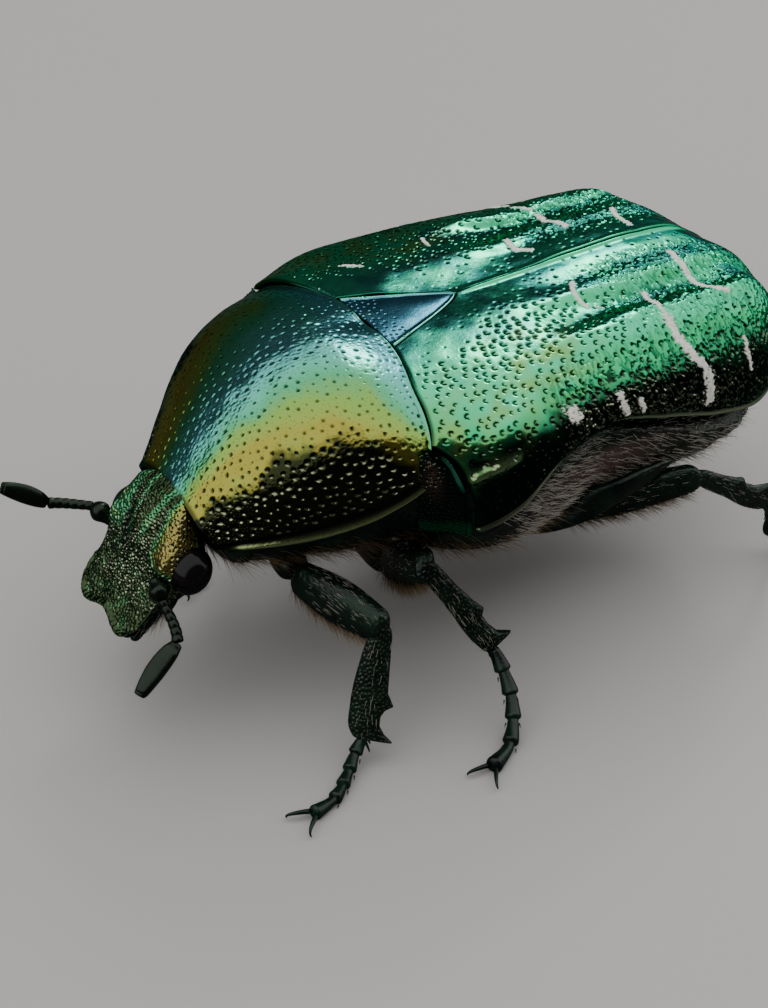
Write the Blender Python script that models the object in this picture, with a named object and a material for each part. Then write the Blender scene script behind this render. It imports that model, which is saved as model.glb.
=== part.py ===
"""Rose chafer (Cetonia aurata), life size, standing still on the floor.

Every length below is in millimetres, in the body's own frame: x to the beetle's left, y towards its tail,
z up, with the zero at the middle of the pronotum's hind edge, on the back. The last step lifts the beetle
onto the floor at z = 0, centres it on the origin and turns millimetres into metres.
"""

import math

import bmesh
import bpy
import numpy as np
from mathutils import Matrix, Vector

MM = 0.001

# ---------------------------------------------------------------- driving sizes
BACK_HEIGHT = 9.0  # from the floor to the pronotum's hind edge on the midline
GAP = 0.28  # kept between neighbouring plates and at every joint
SHELL_WALL = 0.55  # thickness of the pronotum and of the wing cases
SQUARENESS = 2.6  # of the wing cases' cross-section: 2 is an ellipse, more is boxier
PRONOTUM_SQUARENESS = 2.25

SCUTELLUM_LENGTH = 2.75
SCUTELLUM_HALF_WIDTH = 1.35
SCUTELLUM_THICKNESS = 0.5

# Wing cases: y, crest height, greatest half-width and its height, half-width and height of the side margin.
WING_CASE_STATIONS = (
    (-0.8, 0.00, 4.50, -1.75, 4.45, -3.45),
    (0.2, 0.02, 5.00, -1.70, 4.95, -3.40),
    (1.3, 0.06, 5.20, -1.65, 5.05, -3.10),
    (2.8, 0.10, 5.05, -1.55, 4.65, -2.38),
    (4.3, 0.13, 4.85, -1.45, 4.35, -1.98),
    (6.5, 0.15, 4.75, -1.70, 4.40, -2.45),
    (8.6, 0.14, 4.58, -2.00, 4.28, -3.15),
    (10.2, -0.18, 4.15, -2.35, 3.90, -3.55),
    (11.4, -1.20, 3.25, -2.75, 3.05, -3.75),
    (12.2, -2.60, 2.10, -3.30, 1.95, -3.85),
)
WING_CASE_FRONT = (  # share across from the crest, y of the front edge
    (0.0, 0.3),
    (0.12, 0.3),
    (0.2, 0.12),
    (0.28, -0.02),
    (0.35, -0.16),
    (0.5, -0.68),
    (0.62, -0.70),
    (0.8, -0.40),
    (1.0, 0.12),
)
WING_CASE_REAR = ((0.0, 11.85), (0.35, 12.2), (0.7, 12.1), (1.0, 11.6))  # share across, y of the hind edge
UPPER_SHARE = 0.8  # of the grid across a wing case, from the crest to the widest line

# Pronotum: share from front to back, crest height, half-width, height of the side margin.
PRONOTUM_STATIONS = (
    (0.0, -2.62, 1.80, -3.80),
    (0.2, -1.25, 2.55, -3.62),
    (0.45, -0.18, 3.35, -3.20),
    (0.7, 0.22, 4.00, -2.65),
    (0.9, 0.12, 4.30, -2.15),
    (1.0, 0.00, 4.36, -1.90),
)
PRONOTUM_FRONT = ((0.0, -5.40), (0.6, -5.38), (1.0, -5.20))  # share across, y
PRONOTUM_HIND = (  # x, y
    (0.0, 0.0),
    (1.2, 0.0),
    (2.0, -0.12),
    (2.7, -0.30),
    (3.4, -0.52),
    (3.9, -0.80),
    (4.3, -1.15),
)

# Head: the face runs from the vertex down to the notch of the clypeus.
VERTEX = Vector((0.0, -5.45, -2.85))
NOTCH = Vector((0.0, -7.57, -5.99))
HEAD_STATIONS = (  # distance down the face, half-width, height of the face, depth of the back of the head
    (0.25, 0.85, 0.20, 0.35),
    (0.8, 1.28, 0.30, 1.05),
    (1.4, 1.52, 0.28, 1.45),
    (2.0, 1.52, 0.12, 1.50),
    (2.5, 1.42, -0.02, 1.20),
    (3.0, 1.39, -0.08, 0.80),
    (3.5, 1.34, -0.08, 0.62),
    (4.0, 1.18, -0.12, 0.58),
)
FACE_END = ((0.0, 3.76), (0.25, 3.84), (0.55, 3.97), (0.8, 3.80), (1.0, 3.40))  # share across, distance
RIM_HEIGHT = 0.10  # of the turned-up edge of the clypeus
EYE_CENTRE = (1.47, 1.58, -0.60)  # across, down the face, out of it
EYE_RADII = (0.54, 0.60, 0.50)

# The trunk under the shells: y, half-width, top and bottom heights.
PROTHORAX_STATIONS = (
    (-4.75, 1.00, -3.45, -4.55),
    (-4.2, 1.60, -2.60, -4.90),
    (-3.0, 2.40, -1.35, -5.15),
    (-1.6, 2.95, -0.85, -5.25),
    (-0.55, 3.10, -0.90, -5.15),
)
THORAX_STATIONS = (
    (-0.25, 3.15, -1.00, -5.25),
    (0.6, 3.80, -0.95, -5.70),
    (1.6, 4.10, -0.90, -6.05),
    (3.0, 4.00, -0.85, -6.00),
    (4.4, 3.55, -0.80, -5.50),
)
ABDOMEN_STATIONS = (
    (4.65, 3.50, -0.80, -5.45),
    (6.5, 3.68, -0.75, -5.85),
    (8.6, 3.68, -0.80, -5.95),
    (10.2, 3.10, -1.40, -5.55),
    (10.85, 2.45, -2.45, -5.15),
)
STERNITE_EDGES = (6.2, 7.5, 8.7, 9.7, 10.5)  # y of the steps between the belly plates
STERNITE_STEP = 0.10
FLANK_SWELL = 0.45  # of the trunk's sides where they come out below the wing cases
STERNAL_KNOB = ((0, 0.75, -5.75), (0.42, 0.60, 0.42))  # centre and radii of the knob between the middle legs

PYGIDIUM_STATIONS = (  # share from top to bottom, y, z, half-width
    (0.0, 12.00, -4.05, 1.75),
    (0.35, 12.05, -4.50, 1.60),
    (0.7, 11.90, -4.95, 1.20),
    (1.0, 11.60, -5.30, 0.65),
)
PYGIDIUM_THICKNESS = 0.55

MESEPIMERON = (  # share from top to bottom, y of its front, y of its hind edge, x, z
    (0.0, -0.82, -0.72, 4.20, -1.85),
    (0.3, -0.84, -0.60, 4.32, -2.30),
    (0.6, -1.05, -0.42, 4.38, -2.80),
    (1.0, -1.05, -0.24, 4.40, -3.40),
)
MESEPIMERON_THICKNESS = 0.6

# Legs of each side, given for the left: points in the body frame, half-widths and half-depths.
FRONT, MID, HIND = "front", "mid", "hind"
COXAE = {  # inner end, middle, outer end, half-width, half-depth
    FRONT: ((0.65, -3.0, -5.72), (1.2, -3.15, -5.72), (1.72, -3.3, -5.70), 0.50, 0.40),
    MID: ((0.65, 0.75, -6.55), (1.2, 0.65, -6.45), (1.75, 0.55, -6.30), 0.50, 0.36),
    HIND: ((0.60, 4.1, -6.20), (2.5, 4.7, -5.85), (4.18, 6.6, -4.55), 0.60, 0.26),
}
FEMUR_WIDTHS = {FRONT: (0.40, 0.60, 0.42), MID: (0.40, 0.56, 0.41), HIND: (0.34, 0.46, 0.36)}
TIBIA_WIDTHS = {FRONT: (0.27, 0.36, 0.48), MID: (0.26, 0.32, 0.40), HIND: (0.28, 0.36, 0.44)}
BROAD_SIDE = {FRONT: (0.55, 0.83, 0.1), MID: (0.3, 0.9, 0.35), HIND: (0.15, 0.5, 0.85)}
TEETH = {  # share down the tibia, length of the tooth
    FRONT: ((0.70, 0.42), (1.0, 0.5)),
    MID: ((0.60, 0.3), (0.98, 0.42)),
    HIND: ((0.55, 0.3), (0.98, 0.4)),
}
SPUR_LENGTH = {FRONT: 0.45, MID: 0.5, HIND: 0.7}
TARSUS_RADIUS = 0.25
CLAW_LENGTH = 0.55
POSES = {  # hip, knee, ankle, then the tarsus down to its claws, as they stand on each side
    (FRONT, 1): (
        (2.15, -3.35, -5.50),
        (4.68, -2.3, -5.50),
        (5.25, -3.05, -8.10),
        ((5.35, -3.35, -8.35), (5.75, -3.85, -8.70), (6.25, -4.6, -8.78), (6.42, -5.3, -8.78)),
    ),
    (FRONT, -1): (
        (2.15, -3.35, -5.50),
        (4.53, -2.5, -5.42),
        (4.75, -3.1, -8.10),
        ((4.75, -3.4, -8.4), (4.35, -3.85, -8.74), (3.6, -4.05, -8.78), (2.85, -3.75, -8.78)),
    ),
    (MID, 1): (
        (2.2, 0.40, -6.00),
        (3.95, -0.55, -4.70),
        (5.2, 0.79, -7.13),
        ((5.45, 0.85, -7.45), (6.16, 0.79, -8.2), (6.95, 0.2, -8.76), (7.38, -0.65, -8.78)),
    ),
    (MID, -1): (
        (2.2, 0.20, -6.15),
        (4.05, -0.45, -4.80),
        (5.4, 1.1, -7.20),
        ((5.65, 1.15, -7.5), (6.4, 1.1, -8.3), (7.15, 0.7, -8.76), (7.6, -0.1, -8.78)),
    ),
    (HIND, 1): (
        (2.95, 4.7, -6.50),
        (4.50, 7.78, -4.95),
        (4.6, 10.4, -6.60),
        ((4.62, 10.75, -7.0), (4.45, 11.05, -7.9), (4.55, 11.9, -8.74), (5.0, 13.6, -8.78)),
    ),
    (HIND, -1): (
        (2.95, 4.7, -6.50),
        (4.55, 7.45, -4.98),
        (4.9, 10.0, -6.70),
        ((4.95, 10.3, -7.05), (4.95, 10.75, -8.0), (5.1, 11.6, -8.74), (5.6, 13.2, -8.78)),
    ),
}

ANTENNAE = {  # root, bend and end of the stalk, then root and tip of the club
    1: (
        (1.86, -6.72, -4.96),
        (2.12, -6.80, -5.25),
        (2.42, -6.80, -5.56),
        (2.56, -7.00, -5.77),
        (3.02, -8.10, -6.29),
    ),
    -1: (
        (1.84, -6.80, -4.60),
        (2.12, -7.15, -4.48),
        (2.45, -7.55, -4.35),
        (2.52, -7.84, -4.26),
        (3.0, -8.72, -3.75),
    ),
}
STALK_RADII = (0.25, 0.20, 0.24)
CLUB_HALF_WIDTH = 0.27
CLUB_HALF_DEPTH = 0.24

COLOURS = {  # linear red, green, blue; roughness; metallic
    "pronotum_green": ((0.10, 0.26, 0.06), 0.28, 0.9),
    "wing_case_green": ((0.02, 0.26, 0.13), 0.28, 0.9),
    "scutellum_blue": ((0.03, 0.12, 0.16), 0.25, 0.9),
    "cuticle_dark": ((0.012, 0.028, 0.020), 0.35, 0.4),
    "eye_black": ((0.006, 0.005, 0.006), 0.12, 0.0),
}

SIDES = ((1, "left"), (-1, "right"))
EYE_GAP = 0.16
KNEE_CLEARANCE = 0.55
ANKLE_CLEARANCE = 0.08
BLUNT_ENDS = (0.62, 0.85, 1.0, 1.0, 1.0, 1.0, 1.0, 0.88, 0.66)
SEGMENT_SIDES = 10
TARSUS_SIDES = 8


# ---------------------------------------------------------------- small tools
def smooth(knots, at):
    """A smooth curve through (place, value) knots, read at each place asked for."""
    places, values = np.array(knots, float).T
    slopes = np.gradient(values, places)
    at = np.clip(at, places[0], places[-1])
    i = np.clip(np.searchsorted(places, at) - 1, 0, len(places) - 2)
    width = places[i + 1] - places[i]
    t = (at - places[i]) / width
    return (
        (1 + 2 * t) * (1 - t) ** 2 * values[i]
        + t * (1 - t) ** 2 * width * slopes[i]
        + t**2 * (3 - 2 * t) * values[i + 1]
        + t**2 * (t - 1) * width * slopes[i + 1]
    )


def column(stations, index, at):
    """One column of a station table as a smooth curve of its first column."""
    return smooth([(row[0], row[index]) for row in stations], at)


def bump(distance, width):
    return np.exp(-((distance / width) ** 2))


def clear_scene():
    for obj in list(bpy.data.objects):
        bpy.data.objects.remove(obj)


def material(name):
    found = bpy.data.materials.get(name)
    if found:
        return found
    colour, roughness, metallic = COLOURS[name]
    made = bpy.data.materials.new(name)
    made.use_nodes = True
    made.diffuse_color = (*colour, 1)
    shader = made.node_tree.nodes["Principled BSDF"]
    shader.inputs["Base Color"].default_value = (*colour, 1)
    shader.inputs["Roughness"].default_value = roughness
    shader.inputs["Metallic"].default_value = metallic
    return made


def add_object(name, bm, finish):
    """Turns a closed bmesh in millimetres into an object with its material, its faces pointing out."""
    bmesh.ops.recalc_face_normals(bm, faces=bm.faces)
    if bm.calc_volume(signed=True) < 0:
        bmesh.ops.reverse_faces(bm, faces=bm.faces)
    bmesh.ops.triangulate(bm, faces=bm.faces)
    mesh = bpy.data.meshes.new(name)
    bm.to_mesh(mesh)
    bm.free()
    mesh.shade_smooth()
    mesh.set_sharp_from_angle(angle=math.radians(40))
    mesh.materials.append(material(finish))
    obj = bpy.data.objects.new(name, mesh)
    bpy.context.scene.collection.objects.link(obj)
    return obj


def plate(name, outer, inner, across, along, finish):
    """A closed plate between two skins. Each skin is a function of two arrays that run from 0 to 1."""
    bm = bmesh.new()
    bmesh.ops.create_grid(bm, x_segments=across, y_segments=along, size=0.5)
    spots = {v: (v.co.x + 0.5, v.co.y + 0.5) for v in bm.verts}
    bottom = list(bm.verts)
    lifted = bmesh.ops.extrude_face_region(bm, geom=list(bm.faces), use_keep_orig=True)
    top = [v for v in lifted["geom"] if isinstance(v, bmesh.types.BMVert)]
    top_spots = [(v.co.x + 0.5, v.co.y + 0.5) for v in top]
    for verts, places, skin in (
        (bottom, [spots[v] for v in bottom], inner),
        (top, top_spots, outer),
    ):
        u, v = np.clip(np.array(places).T, 0, 1)
        for vert, place in zip(verts, np.stack(skin(u, v), axis=1)):
            vert.co = place
    return add_object(name, bm, finish)


def loft(rings):
    """A closed bmesh through rings of equal length."""
    bm = bmesh.new()
    loops = [[bm.verts.new(point) for point in ring] for ring in rings]
    count = len(loops[0])
    for low, high in zip(loops, loops[1:]):
        for i in range(count):
            j = (i + 1) % count
            bm.faces.new((low[i], low[j], high[j], high[i]))
    bm.faces.new(loops[0][::-1])
    bm.faces.new(loops[-1])
    return bm


def spline_path(points, count):
    """Points spread evenly along a smooth path through a few hand-set points."""
    points = np.array(points, float)
    reach = np.concatenate([[0], np.cumsum(np.linalg.norm(np.diff(points, axis=0), axis=1))])
    reach /= reach[-1]
    at = np.linspace(0, 1, count)
    return np.stack([smooth(np.stack([reach, points[:, k]], axis=1), at) for k in range(3)], axis=1)


def limb_rings(path, widths, depths, broad_side, sides):
    """Elliptic rings square to a path. The width lies along broad_side, the depth across it."""
    rings = []
    turns = np.linspace(0, math.tau, sides, endpoint=False)
    headings = np.gradient(path, axis=0)
    for centre, heading, width, depth in zip(path, headings, widths, depths):
        forward = Vector(heading).normalized()
        side = Vector(broad_side)
        side = (side - forward * side.dot(forward)).normalized()
        across = forward.cross(side)
        rings.append(
            [
                Vector(centre) + side * (width * math.cos(a)) + across * (depth * math.sin(a))
                for a in turns
            ]
        )
    return rings


def spine(root, tip, radius, tip_radius, bend=(0, 0, 0), sides=6, rings=4):
    """A tapered spine from root to tip, bowed by bend at its middle."""
    root, tip = np.array(root, float), np.array(tip, float)
    share = np.linspace(0, 1, rings)
    path = root + (tip - root) * share[:, None] + np.array(bend) * (4 * share * (1 - share))[:, None]
    radii = radius + (tip_radius - radius) * share
    heading = Vector(tip - root)
    side = heading.orthogonal()
    return loft(limb_rings(path, radii, radii, side, sides))


def fuse(obj, pieces):
    """Joins closed pieces into obj with one Boolean union and keeps the largest closed surface."""
    group = bpy.data.collections.new(obj.name + "_pieces")
    bpy.context.scene.collection.children.link(group)
    for i, bm in enumerate(pieces):
        piece = add_object(f"{obj.name}_piece{i}", bm, "cuticle_dark")
        bpy.context.scene.collection.objects.unlink(piece)
        group.objects.link(piece)
    union = obj.modifiers.new("union", "BOOLEAN")
    union.operand_type = "COLLECTION"
    union.collection = group
    union.operation = "UNION"
    union.solver = "EXACT"
    apply_modifiers(obj)
    for piece in list(group.objects):
        bpy.data.objects.remove(piece)
    bpy.data.collections.remove(group)
    return obj


def carve(obj, cutter_bm):
    """Cuts a closed shape out of obj."""
    cutter = add_object(obj.name + "_cutter", cutter_bm, "cuticle_dark")
    cut = obj.modifiers.new("cut", "BOOLEAN")
    cut.object = cutter
    cut.operation = "DIFFERENCE"
    cut.solver = "EXACT"
    apply_modifiers(obj)
    bpy.data.objects.remove(cutter)
    return obj


def apply_modifiers(obj):
    """Replaces obj's mesh by its evaluated one, less any loose scrap."""
    bpy.context.view_layer.update()
    graph = bpy.context.evaluated_depsgraph_get()
    made = bpy.data.meshes.new_from_object(obj.evaluated_get(graph))
    obj.modifiers.clear()
    obj.data = made
    bm = bmesh.new()
    bm.from_mesh(made)
    bmesh.ops.remove_doubles(bm, verts=bm.verts, dist=1e-5)
    left, bodies = set(bm.verts), []
    while left:
        body, front = set(), [left.pop()]
        while front:
            vert = front.pop()
            body.add(vert)
            near = {edge.other_vert(vert) for edge in vert.link_edges} & left
            left -= near
            front.extend(near)
        bodies.append(body)
    largest = max(bodies, key=len)
    bmesh.ops.delete(bm, geom=[v for v in bm.verts if v not in largest], context="VERTS")
    bmesh.ops.triangulate(bm, faces=bm.faces)
    bm.to_mesh(made)
    bm.free()
    made.shade_smooth()
    made.set_sharp_from_angle(angle=math.radians(40))


# ---------------------------------------------------------------- back: pronotum, scutellum, wing cases
def pronotum_hind(x):
    return smooth(PRONOTUM_HIND, np.abs(x))


def pronotum_skin(inset):
    """The pronotum's surface, drawn in by inset, as a skin for plate()."""

    def skin(u, v):
        across = 2 * u - 1
        half_width = column(PRONOTUM_STATIONS, 2, v) - inset
        crest = column(PRONOTUM_STATIONS, 1, v) - inset
        margin = column(PRONOTUM_STATIONS, 3, v)
        angle = across * math.pi / 2
        power = 2 / PRONOTUM_SQUARENESS
        x = half_width * np.sign(across) * np.abs(np.sin(angle)) ** power
        z = margin + (crest - margin) * np.abs(np.cos(angle)) ** power
        front = smooth(PRONOTUM_FRONT, np.abs(across)) + 0.4 * inset
        y = front + (pronotum_hind(x) - front) * v
        return x, y, z

    return skin


def scutellum_half_width(y):
    """Half-width of the little triangle between the wing cases, with straight sides and a round tip."""
    share = np.clip(y / SCUTELLUM_LENGTH, 0, 1)
    return SCUTELLUM_HALF_WIDTH * np.sqrt(np.clip(1 - share, 0, 1)) * np.sqrt(1 - 0.55 * share)


def scutellum_skin(depth):
    def skin(u, v):
        y = 0.30 + (SCUTELLUM_LENGTH - 0.32) * v
        x = (2 * u - 1) * scutellum_half_width(y)
        crest = 0.06 * (1 - (2 * u - 1) ** 2) - 0.10
        return x, y, crest - depth

    return skin


def wing_case_section(y, share, inset):
    """x and z of a wing case at y. share runs from the crest, 0, round to the side margin, 1."""
    crest = column(WING_CASE_STATIONS, 1, y) - inset
    wide_x = column(WING_CASE_STATIONS, 2, y) - inset
    wide_z = column(WING_CASE_STATIONS, 3, y)
    margin_x = column(WING_CASE_STATIONS, 4, y) - inset
    margin_z = column(WING_CASE_STATIONS, 5, y)
    upper = np.clip(share / UPPER_SHARE, 0, 1) * math.pi / 2
    lower = np.clip((share - UPPER_SHARE) / (1 - UPPER_SHARE), 0, 1) * math.pi / 2
    power = 2 / SQUARENESS
    x = np.where(
        share <= UPPER_SHARE,
        wide_x * np.sin(upper) ** power,
        margin_x + (wide_x - margin_x) * np.cos(lower),
    )
    z = np.where(
        share <= UPPER_SHARE,
        wide_z + (crest - wide_z) * np.cos(upper) ** power,
        wide_z - (wide_z - margin_z) * np.sin(lower),
    )
    relief = (
        0.16 * bump(share - 0.58, 0.10) * bump(y - 1.3, 0.9)  # the shoulder knob
        + 0.14 * bump(share - 0.50, 0.12) * bump(y - 10.3, 0.7)  # the knob before the tip
        + 0.10 * bump(share - 0.36, 0.05) * bump(y - 7.5, 2.6)  # the rib along the disc
        - 0.10 * bump(share - 0.22, 0.09) * bump(y - 8.0, 2.8)  # the furrow beside the seam
    )
    return x + relief * np.sin(upper), z + relief * np.cos(upper)


def wing_case_skin(side, inset):
    """One wing case's surface, drawn in by inset. side is 1 for the left and -1 for the right."""

    def skin(u, v):
        share = 0.12 + 0.88 * u
        front = smooth(WING_CASE_FRONT, share)
        front_x, _ = wing_case_section(front, share, inset)
        front = np.maximum(front, pronotum_hind(front_x) + 1.15 * GAP)
        rear = smooth(WING_CASE_REAR, u) - 0.6 * inset
        y = front + (rear - front) * np.sin(v * math.pi / 2) ** 1.1
        inner_x = np.where(y < SCUTELLUM_LENGTH, scutellum_half_width(y), 0) + GAP / 2
        inner_x = inner_x + np.where(y < SCUTELLUM_LENGTH, GAP / 2, 0)
        wide_x = column(WING_CASE_STATIONS, 2, y) - inset
        start = UPPER_SHARE * 2 / math.pi * np.arcsin((inner_x / wide_x) ** (SQUARENESS / 2))
        x, z = wing_case_section(y, start + (1 - start) * u, inset)
        return side * x, y, z

    return skin


def build_back():
    plate(
        "pronotum",
        pronotum_skin(0),
        pronotum_skin(SHELL_WALL),
        across=20,
        along=12,
        finish="pronotum_green",
    )
    plate(
        "scutellum",
        scutellum_skin(0),
        scutellum_skin(SCUTELLUM_THICKNESS),
        across=6,
        along=8,
        finish="scutellum_blue",
    )
    for side, word in SIDES:
        outer, inner = wing_case_skin(side, 0), wing_case_skin(side, SHELL_WALL)
        plate(f"elytron_{word}", outer, inner, across=17, along=18, finish="wing_case_green")


# ---------------------------------------------------------------- trunk under the shells
def trunk_ring(y, half_width, top, bottom, sides=26):
    """A ring of the trunk at y: flat-topped above, round below, and wider under the wing cases' margin."""
    middle = bottom + 0.55 * (top - bottom)
    shelf = float(column(WING_CASE_STATIONS, 5, y)) - GAP if y > 0 else bottom
    ring = []
    for a in np.linspace(0, math.tau, sides, endpoint=False):
        rise = math.copysign(abs(math.cos(a)) ** 0.9, math.cos(a))
        z = middle + rise * ((top - middle) if rise > 0 else (middle - bottom))
        below = min(1, max(0, (shelf - z) / 0.35))
        wide = half_width + FLANK_SWELL * below * abs(math.sin(a))
        ring.append((wide * math.copysign(abs(math.sin(a)) ** 0.8, math.sin(a)), y, z))
    return ring


def trunk(name, stations, count, steps=()):
    """A lofted length of the trunk, with a small step in the belly at each y in steps."""
    ys = np.linspace(stations[0][0], stations[-1][0], count)
    for step in steps:
        ys = np.append(ys[np.abs(ys - step) > 0.12], [step - 0.05, step + 0.05])
    rings = []
    for y in np.sort(ys):
        passed = [step for step in steps if step < y]
        into = (y - passed[-1]) if passed else 1.0
        swell = STERNITE_STEP * max(0.0, 1 - into) if steps else 0.0
        half_width, top, bottom = (float(column(stations, k, y)) for k in (1, 2, 3))
        rings.append(trunk_ring(y, half_width - 0.5 * swell, top, bottom + swell))
    return add_object(name, loft(rings), "cuticle_dark")


def build_trunk():
    trunk("prothorax", PROTHORAX_STATIONS, 8)
    thorax = trunk("thorax", THORAX_STATIONS, 9)
    fuse(thorax, [ball(*STERNAL_KNOB, sides=10, rings=8)])
    trunk("abdomen", ABDOMEN_STATIONS, 12, STERNITE_EDGES)
    plate(
        "pygidium",
        pygidium_skin(0),
        pygidium_skin(PYGIDIUM_THICKNESS),
        across=8,
        along=6,
        finish="cuticle_dark",
    )
    for side, word in SIDES:
        outer = mesepimeron_skin(side, 0)
        inner = mesepimeron_skin(side, MESEPIMERON_THICKNESS)
        plate(f"mesepimeron_{word}", outer, inner, across=5, along=8, finish="wing_case_green")


def mesepimeron_skin(side, depth):
    """The wedge that shows between the pronotum and the shoulder of a wing case."""

    def skin(u, v):
        front, hind, x, z = (column(MESEPIMERON, k, v) for k in (1, 2, 3, 4))
        behind_pronotum = np.where(z > -2.6, pronotum_hind(x - depth) + GAP, front)
        front = np.maximum(front, behind_pronotum)
        hind = np.maximum(hind, front + 0.1)
        swell = 0.12 * np.sin(u * math.pi) * v
        return side * (x + 0.25 * v * u + swell - depth), front + (hind - front) * u, z

    return skin


def pygidium_skin(depth):
    """The last plate, below the tips of the wing cases, facing back."""

    def skin(u, v):
        across = 2 * u - 1
        y = column(PYGIDIUM_STATIONS, 1, v) - 0.35 * across**2
        x = across * (column(PYGIDIUM_STATIONS, 3, v) - 0.2 * depth)
        return x, y - depth, column(PYGIDIUM_STATIONS, 2, v)

    return skin


# ---------------------------------------------------------------- head
def face_point(x, down, out):
    """A point of the head, from how far it lies across, down the face and out of it."""
    along = (NOTCH - VERTEX).normalized()
    normal = along.cross(Vector((1, 0, 0))).normalized()
    if normal.y > 0:
        normal.negate()
    return VERTEX + Vector((x, 0, 0)) + along * down + normal * out


def head_skin(face):
    """The face when face is 1, and the back of the head when it is -1."""

    def skin(u, v):
        across = 2 * u - 1
        first = HEAD_STATIONS[0][0]
        down = first + (smooth(FACE_END, np.abs(across)) - first) * v
        half_width = column(HEAD_STATIONS, 1, down)
        top = column(HEAD_STATIONS, 2, down)
        back = column(HEAD_STATIONS, 3, down)
        edge = top - 0.32 * (top + back)
        round_off = np.abs(np.cos(across * math.pi / 2)) ** 0.6
        x = half_width * np.sin(across * math.pi / 2)
        if face > 0:
            out = edge + 0.1 + (top - edge - 0.1) * round_off
            rim = np.clip((down - 2.7) / 0.6, 0, 1) * np.maximum(
                bump(1 - np.abs(across), 0.22), bump(1 - v, 0.06)
            )
            out = out + RIM_HEIGHT * rim
        else:
            out = edge - 0.1 + (-back - edge + 0.1) * round_off
        places = [face_point(*place) for place in zip(x, down, out)]
        return np.array(places).T

    return skin


def ball(centre, radii, sides=16, rings=12):
    """An ellipsoid as a closed bmesh."""
    bm = bmesh.new()
    bmesh.ops.create_uvsphere(bm, u_segments=sides, v_segments=rings, radius=1)
    bmesh.ops.transform(bm, verts=bm.verts, matrix=Matrix.Translation(centre) @ Matrix.Diagonal((*radii, 1)))
    return bm


def turned_ball(centre, radii, sides=16, rings=12):
    """An ellipsoid lying in the face's own directions."""
    bm = ball((0, 0, 0), radii, sides, rings)
    for vert in bm.verts:
        vert.co = face_point(centre[0] + vert.co.x, centre[1] + vert.co.y, centre[2] + vert.co.z)
    return bm


def build_head():
    head = plate("head", head_skin(1), head_skin(-1), across=16, along=16, finish="cuticle_dark")
    for side, word in SIDES:
        centre = (side * EYE_CENTRE[0], *EYE_CENTRE[1:])
        add_object(f"eye_{word}", turned_ball(centre, EYE_RADII, 16, 11), "eye_black")
        carve(head, turned_ball(centre, [r + EYE_GAP for r in EYE_RADII], 12, 8))
    mouth = add_object("mouthparts", turned_ball((0, 3.28, -1.25), (0.72, 0.48, 0.27), 12, 8), "cuticle_dark")
    palps = []
    for side, _ in SIDES:
        root = face_point(side * 0.55, 3.2, -1.2)
        tip = face_point(side * 0.75, 4.1, -0.95)
        palps.append(spine(root, tip, 0.20, 0.10, bend=(side * 0.15, 0, -0.05)))
    fuse(mouth, palps)
    for side, word in SIDES:
        points = [(side * x, y, z) for x, y, z in ANTENNAE[side]]
        path = spline_path(points[:3], 7)
        radii = np.interp(np.linspace(0, 1, 7), (0, 0.5, 1), STALK_RADII)
        rings = limb_rings(path, radii, radii, (0, 0, 1), TARSUS_SIDES)
        add_object(f"antenna_{word}", loft(rings), "cuticle_dark")
        path = spline_path(points[3:], 9)
        swell = np.sin(np.linspace(0.12, 0.90, 9) * math.pi) ** 0.6
        rings = limb_rings(
            path, CLUB_HALF_WIDTH * swell, CLUB_HALF_DEPTH * swell, (side * 0.6, 0.3, 0.7), SEGMENT_SIDES
        )
        add_object(f"antenna_club_{word}", loft(rings), "cuticle_dark")


# ---------------------------------------------------------------- legs
def trimmed(start, end, at_start, at_end):
    """The ends of a segment after a length is taken off each."""
    start, end = Vector(start), Vector(end)
    heading = (end - start).normalized()
    return start + heading * at_start, end - heading * at_end


def segment(start, end, widths, depth_share, broad_side, bow=(0, 0, 0)):
    """A leg segment with blunt ends: half-widths at its start, middle and end."""
    share = np.array([0.0, 0.06, 0.16, 0.35, 0.55, 0.75, 0.88, 0.96, 1.0])
    start, end = np.array(start), np.array(end)
    path = start + (end - start) * share[:, None] + np.array(bow) * (4 * share * (1 - share))[:, None]
    half = smooth(tuple(zip((0.0, 0.5, 1.0), widths)), share) * np.array(BLUNT_ENDS)
    return loft(limb_rings(path, half, half * depth_share, broad_side, SEGMENT_SIDES))


def build_tibia(name, pair, start, end, broad_side):
    """A tibia with its outer teeth and the spurs at its end, fused into one body."""
    widths = TIBIA_WIDTHS[pair]
    tibia = add_object(name, segment(start, end, widths, 0.72, broad_side), "cuticle_dark")
    along = (end - start).normalized()
    out = Vector(broad_side)
    out = (out - along * out.dot(along)).normalized()
    across = along.cross(out)
    pieces = []
    for share, length in TEETH[pair]:
        root = start.lerp(end, share - 0.06) + out * (0.45 * widths[1])
        tip = start.lerp(end, share) + out * (widths[2] * 0.9 + length * 0.75) + along * (0.12 * length)
        pieces.append(spine(root, tip, 0.22, 0.07, bend=-along * 0.05))
    for turn in (-1, 1):
        root = end - along * 0.25 - out * (0.35 * widths[2]) + across * (turn * 0.12)
        tip = root + along * SPUR_LENGTH[pair] - out * 0.30 + across * (turn * 0.16)
        pieces.append(spine(root, tip, 0.15, 0.06))
    return fuse(tibia, pieces)


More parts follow.
